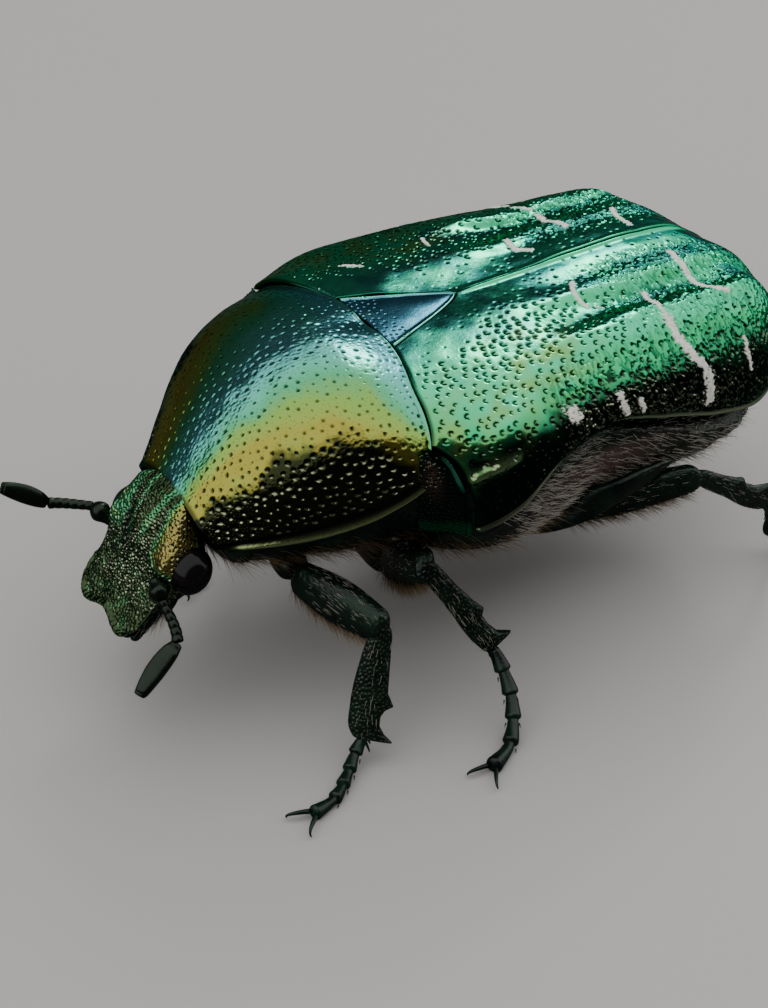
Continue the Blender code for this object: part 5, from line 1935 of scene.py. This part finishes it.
def build_air(colours):
    """Soft light in a wide strip that runs over the beetle from head to tail, with dim air beside it."""
    world = bpy.data.worlds.new("studio_air")
    world.use_nodes = True
    air = Nodes(world.node_tree)
    backdrop = world.node_tree.nodes["Background"]
    backdrop.inputs["Color"].default_value = (*colours.backdrop, 1)
    towards = air.node("ShaderNodeTexCoord", output="Generated")
    x, y, z = (air.node("ShaderNodeSeparateXYZ", {}, {0: towards}, axis) for axis in "XYZ")
    product = {"operation": "DOT_PRODUCT"}
    aimed = air.node("ShaderNodeVectorMath", product, {0: towards, 1: KEY_TILT}, "Value")
    left_side = air.rise(x - y * STRIP_SKEW, *STRIP_LEFT)
    strip = air.rise(x, *STRIP_RIGHT) * (1.0 - left_side) * air.rise(z, *STRIP_FLOOR)
    strength = DIM_AIR + strip * STRIP_POWER + aimed.clamp() ** KEY_FOCUS * KEY_POWER
    glow = {"Color": colours.sky_light, "Strength": strength}
    light = air.node("ShaderNodeBackground", {}, glow, "Background")
    camera_ray = air.node("ShaderNodeLightPath", output="Is Camera Ray")
    parts = {0: camera_ray, 1: light, 2: Value(air, backdrop.outputs[0])}
    mixed = air.node("ShaderNodeMixShader", {}, parts, "Shader")
    air.tree.links.new(mixed.socket, world.node_tree.nodes["World Output"].inputs["Surface"])
    bpy.context.scene.world = world


def build_stage(colours):
    deselect()
    bpy.ops.mesh.primitive_plane_add(size=FLOOR_SIZE, location=(0, 0, 0))
    floor = bpy.context.object
    floor.name = floor.data.name = "studio_floor"
    floor.data.materials.append(floor_finish(colours))
    data = bpy.data.cameras.new("portrait_camera")
    camera = bpy.data.objects.new("portrait_camera", data)
    bpy.context.scene.collection.objects.link(camera)
    data.sensor_width = SENSOR
    data.lens = SENSOR * FOCAL_PIXELS / FRAME_HEIGHT
    data.clip_start = 0.001
    data.clip_end = 10
    turn = Matrix((CAMERA_RIGHT, -Vector(CAMERA_DOWN), -Vector(CAMERA_AHEAD))).transposed()
    camera.matrix_world = Matrix.Translation(Vector(to_world(CAMERA_PLACE))) @ turn.to_4x4()
    bpy.context.scene.camera = camera
    area_light("key_panel", KEY_TILT, 0.40, (0.06, 0.06), 0.05, (1.0, 0.98, 0.95))
    build_air(colours)


# ---------------------------------------------------------------- the panel's settings
def colour_property(name, default, description):
    return bpy.props.FloatVectorProperty(
        name=name, default=default, size=3, min=0, max=1, subtype="COLOR", description=description
    )


def size_property(name, millimetres, description):
    return bpy.props.FloatProperty(
        name=name, default=millimetres * MM, min=0, unit="LENGTH", precision=6, description=description
    )


class ChaferSizes(bpy.types.PropertyGroup):
    """Sizes of the finish."""

    hair_radius: size_property("Hair radius", 0.0070, "Radius of a hair at its root")
    pit_radius: size_property("Pit radius", 0.044, "Radius of a pit on the middle of the pronotum")
    horseshoe_radius: size_property("Horseshoe radius", 0.088, "Radius of a horseshoe on the wing cases")
    groove_depth: size_property("Groove depth", 0.030, "Depth of the horseshoes' grooves")


class ChaferColours(bpy.types.PropertyGroup):
    """Colours of the shells, the legs and the hair."""

    slate: colour_property("Slate", (0.065, 0.190, 0.260), "Scutellum")
    sky: colour_property("Sky", (0.150, 0.470, 0.500), "Blue-green middle of the pronotum")
    mint: colour_property("Mint", (0.120, 0.500, 0.370), "Pale green beside the pronotum's middle")
    sea_green: colour_property("Sea green", (0.090, 0.420, 0.190), "Green of the pronotum and the face")
    leaf: colour_property("Leaf", (0.220, 0.410, 0.085), "Yellow-green of the pronotum and the shoulders")
    gold: colour_property("Gold", (0.285, 0.375, 0.075), "Golden band of the pronotum")
    bronze: colour_property("Bronze", (0.330, 0.310, 0.055), "Edge of the golden band")
    # where the wing cases' ramp reaches it on their steep sides, partly painted shade
    black_green: colour_property("Black green", (0.008, 0.030, 0.017), "Lower sides of the shells")
    jade: colour_property("Jade", (0.062, 0.660, 0.335), "Ribs and upper slopes of the wing cases")
    teal: colour_property("Teal", (0.040, 0.250, 0.210), "Back of the wing cases")
    emerald: colour_property("Emerald", (0.036, 0.490, 0.185), "Slopes of the wing cases")
    deep_green: colour_property("Deep green", (0.024, 0.290, 0.120), "Sides of the wing cases")
    moss: colour_property("Moss", (0.052, 0.082, 0.034), "Face and worn edges")
    # painted shade at the bottom of the pits
    pit: colour_property("Pit", (0.008, 0.012, 0.004), "Bottom of the pits")
    # painted shade and painted shadow on the shells
    shadow: colour_property("Shadow", (0.006, 0.012, 0.009), "Darkest parts of the shells")
    # painted highlight on the upward walls of the pits
    glint: colour_property("Glint", (0.620, 0.680, 0.460), "Upward walls of the pits")
    # painted highlight on the walls of the pronotum's pits
    side_glint: colour_property("Side glint", (0.520, 0.550, 0.320), "Walls of the pits on the pronotum")
    copper: colour_property("Copper", (0.310, 0.255, 0.072), "Temples")
    scale_brown: colour_property("Scale brown", (0.130, 0.082, 0.076), "Scaly patches of the flanks")
    cuticle: colour_property("Cuticle", (0.004, 0.006, 0.007), "Legs and underside")
    eye: colour_property("Eye", (0.004, 0.003, 0.004), "Eyes")
    hair_pale_root: colour_property("Silky hair root", (0.12, 0.10, 0.085), "Root of the silky hair")
    hair_pale: colour_property("Silky hair", (0.66, 0.62, 0.53), "Silky hair of the flanks")
    hair_gold: colour_property("Golden hair", (0.26, 0.17, 0.08), "Hair of the underside")
    hair_dark: colour_property("Dark hair", (0.03, 0.02, 0.012), "Root of the underside's hair")
    floor: colour_property("Floor", (0.50, 0.49, 0.475), "Studio floor")
    backdrop: colour_property("Backdrop", (0.50, 0.49, 0.48), "Plain backdrop")
    sky_light: colour_property("Light", (1.0, 1.0, 1.0), "Colour of the soft light")


# ---------------------------------------------------------------- operators
class ChaferOperator:
    """What every operator here shares."""

    bl_options = {"REGISTER", "UNDO"}

    def execute(self, context):
        sizes, colours = settings()
        self.build(sizes, colours)
        return {"FINISHED"}


class CHAFER_OT_pronotum(ChaferOperator, bpy.types.Operator):
    """Adds the pitted pronotum"""

    bl_idname = "chafer.pronotum"
    bl_label = "Pronotum"

    def build(self, sizes, colours):
        build_pronotum(sizes, colours)


class CHAFER_OT_wing_cases(ChaferOperator, bpy.types.Operator):
    """Adds both wing cases with their marks, and the scutellum between them"""

    bl_idname = "chafer.wing_cases"
    bl_label = "Wing cases"

    def build(self, sizes, colours):
        material = wing_case_finish(colours)
        for (side, word), marks in zip(SIDES, (LEFT_MARKS, RIGHT_MARKS)):
            build_wing_case(side, word, marks, sizes, material)
        build_scutellum(colours)


class CHAFER_OT_trunk(ChaferOperator, bpy.types.Operator):
    """Adds the plates of the underside, the flanks and the tail"""

    bl_idname = "chafer.trunk"
    bl_label = "Trunk"

    def build(self, sizes, colours):
        build_trunk(colours)
        build_small_plates(colours)


class CHAFER_OT_head(ChaferOperator, bpy.types.Operator):
    """Adds the head with its eyes, feelers and mouthparts"""

    bl_idname = "chafer.head"
    bl_label = "Head"

    def build(self, sizes, colours):
        build_head(colours)
        build_eyes(colours)
        build_antennae(colours)
        build_mouth(colours)


class CHAFER_OT_legs(ChaferOperator, bpy.types.Operator):
    """Adds the six legs"""

    bl_idname = "chafer.legs"
    bl_label = "Legs"

    def build(self, sizes, colours):
        build_legs(colours)


class CHAFER_OT_hair(ChaferOperator, bpy.types.Operator):
    """Adds the hair of the underside, the flanks, the thighs and the mouth"""

    bl_idname = "chafer.hair"
    bl_label = "Hair"

    def build(self, sizes, colours):
        build_fur(sizes, colours)


class CHAFER_OT_stage(ChaferOperator, bpy.types.Operator):
    """Adds the floor, the lights and the camera"""

    bl_idname = "chafer.stage"
    bl_label = "Stage"

    def build(self, sizes, colours):
        build_stage(colours)


OPERATORS = (
    CHAFER_OT_pronotum,
    CHAFER_OT_wing_cases,
    CHAFER_OT_trunk,
    CHAFER_OT_head,
    CHAFER_OT_legs,
    CHAFER_OT_hair,
    CHAFER_OT_stage,
)


class CHAFER_PT_panel(bpy.types.Panel):
    """Lists the operators and the colours"""

    bl_idname = "CHAFER_PT_panel"
    bl_label = "Rose Chafer"
    bl_space_type = "VIEW_3D"
    bl_region_type = "UI"
    bl_category = "Rose Chafer"

    def draw(self, context):
        for operator in OPERATORS:
            self.layout.operator(operator.bl_idname)
        for group in settings():
            for name in group.bl_rna.properties.keys():
                if name not in ("rna_type", "name"):
                    self.layout.prop(group, name)


CLASSES = (ChaferSizes, ChaferColours, *OPERATORS, CHAFER_PT_panel)


def register():
    for cls in CLASSES:
        bpy.utils.register_class(cls)
    bpy.types.Scene.chafer_sizes = bpy.props.PointerProperty(type=ChaferSizes)
    bpy.types.Scene.chafer_colours = bpy.props.PointerProperty(type=ChaferColours)


def unregister():
    del bpy.types.Scene.chafer_sizes
    del bpy.types.Scene.chafer_colours
    for cls in reversed(CLASSES):
        bpy.utils.unregister_class(cls)


def main():
    register()
    for operator in OPERATORS:
        category, name = operator.bl_idname.split(".")
        getattr(getattr(bpy.ops, category), name)()


if __name__ == "__main__":
    main()
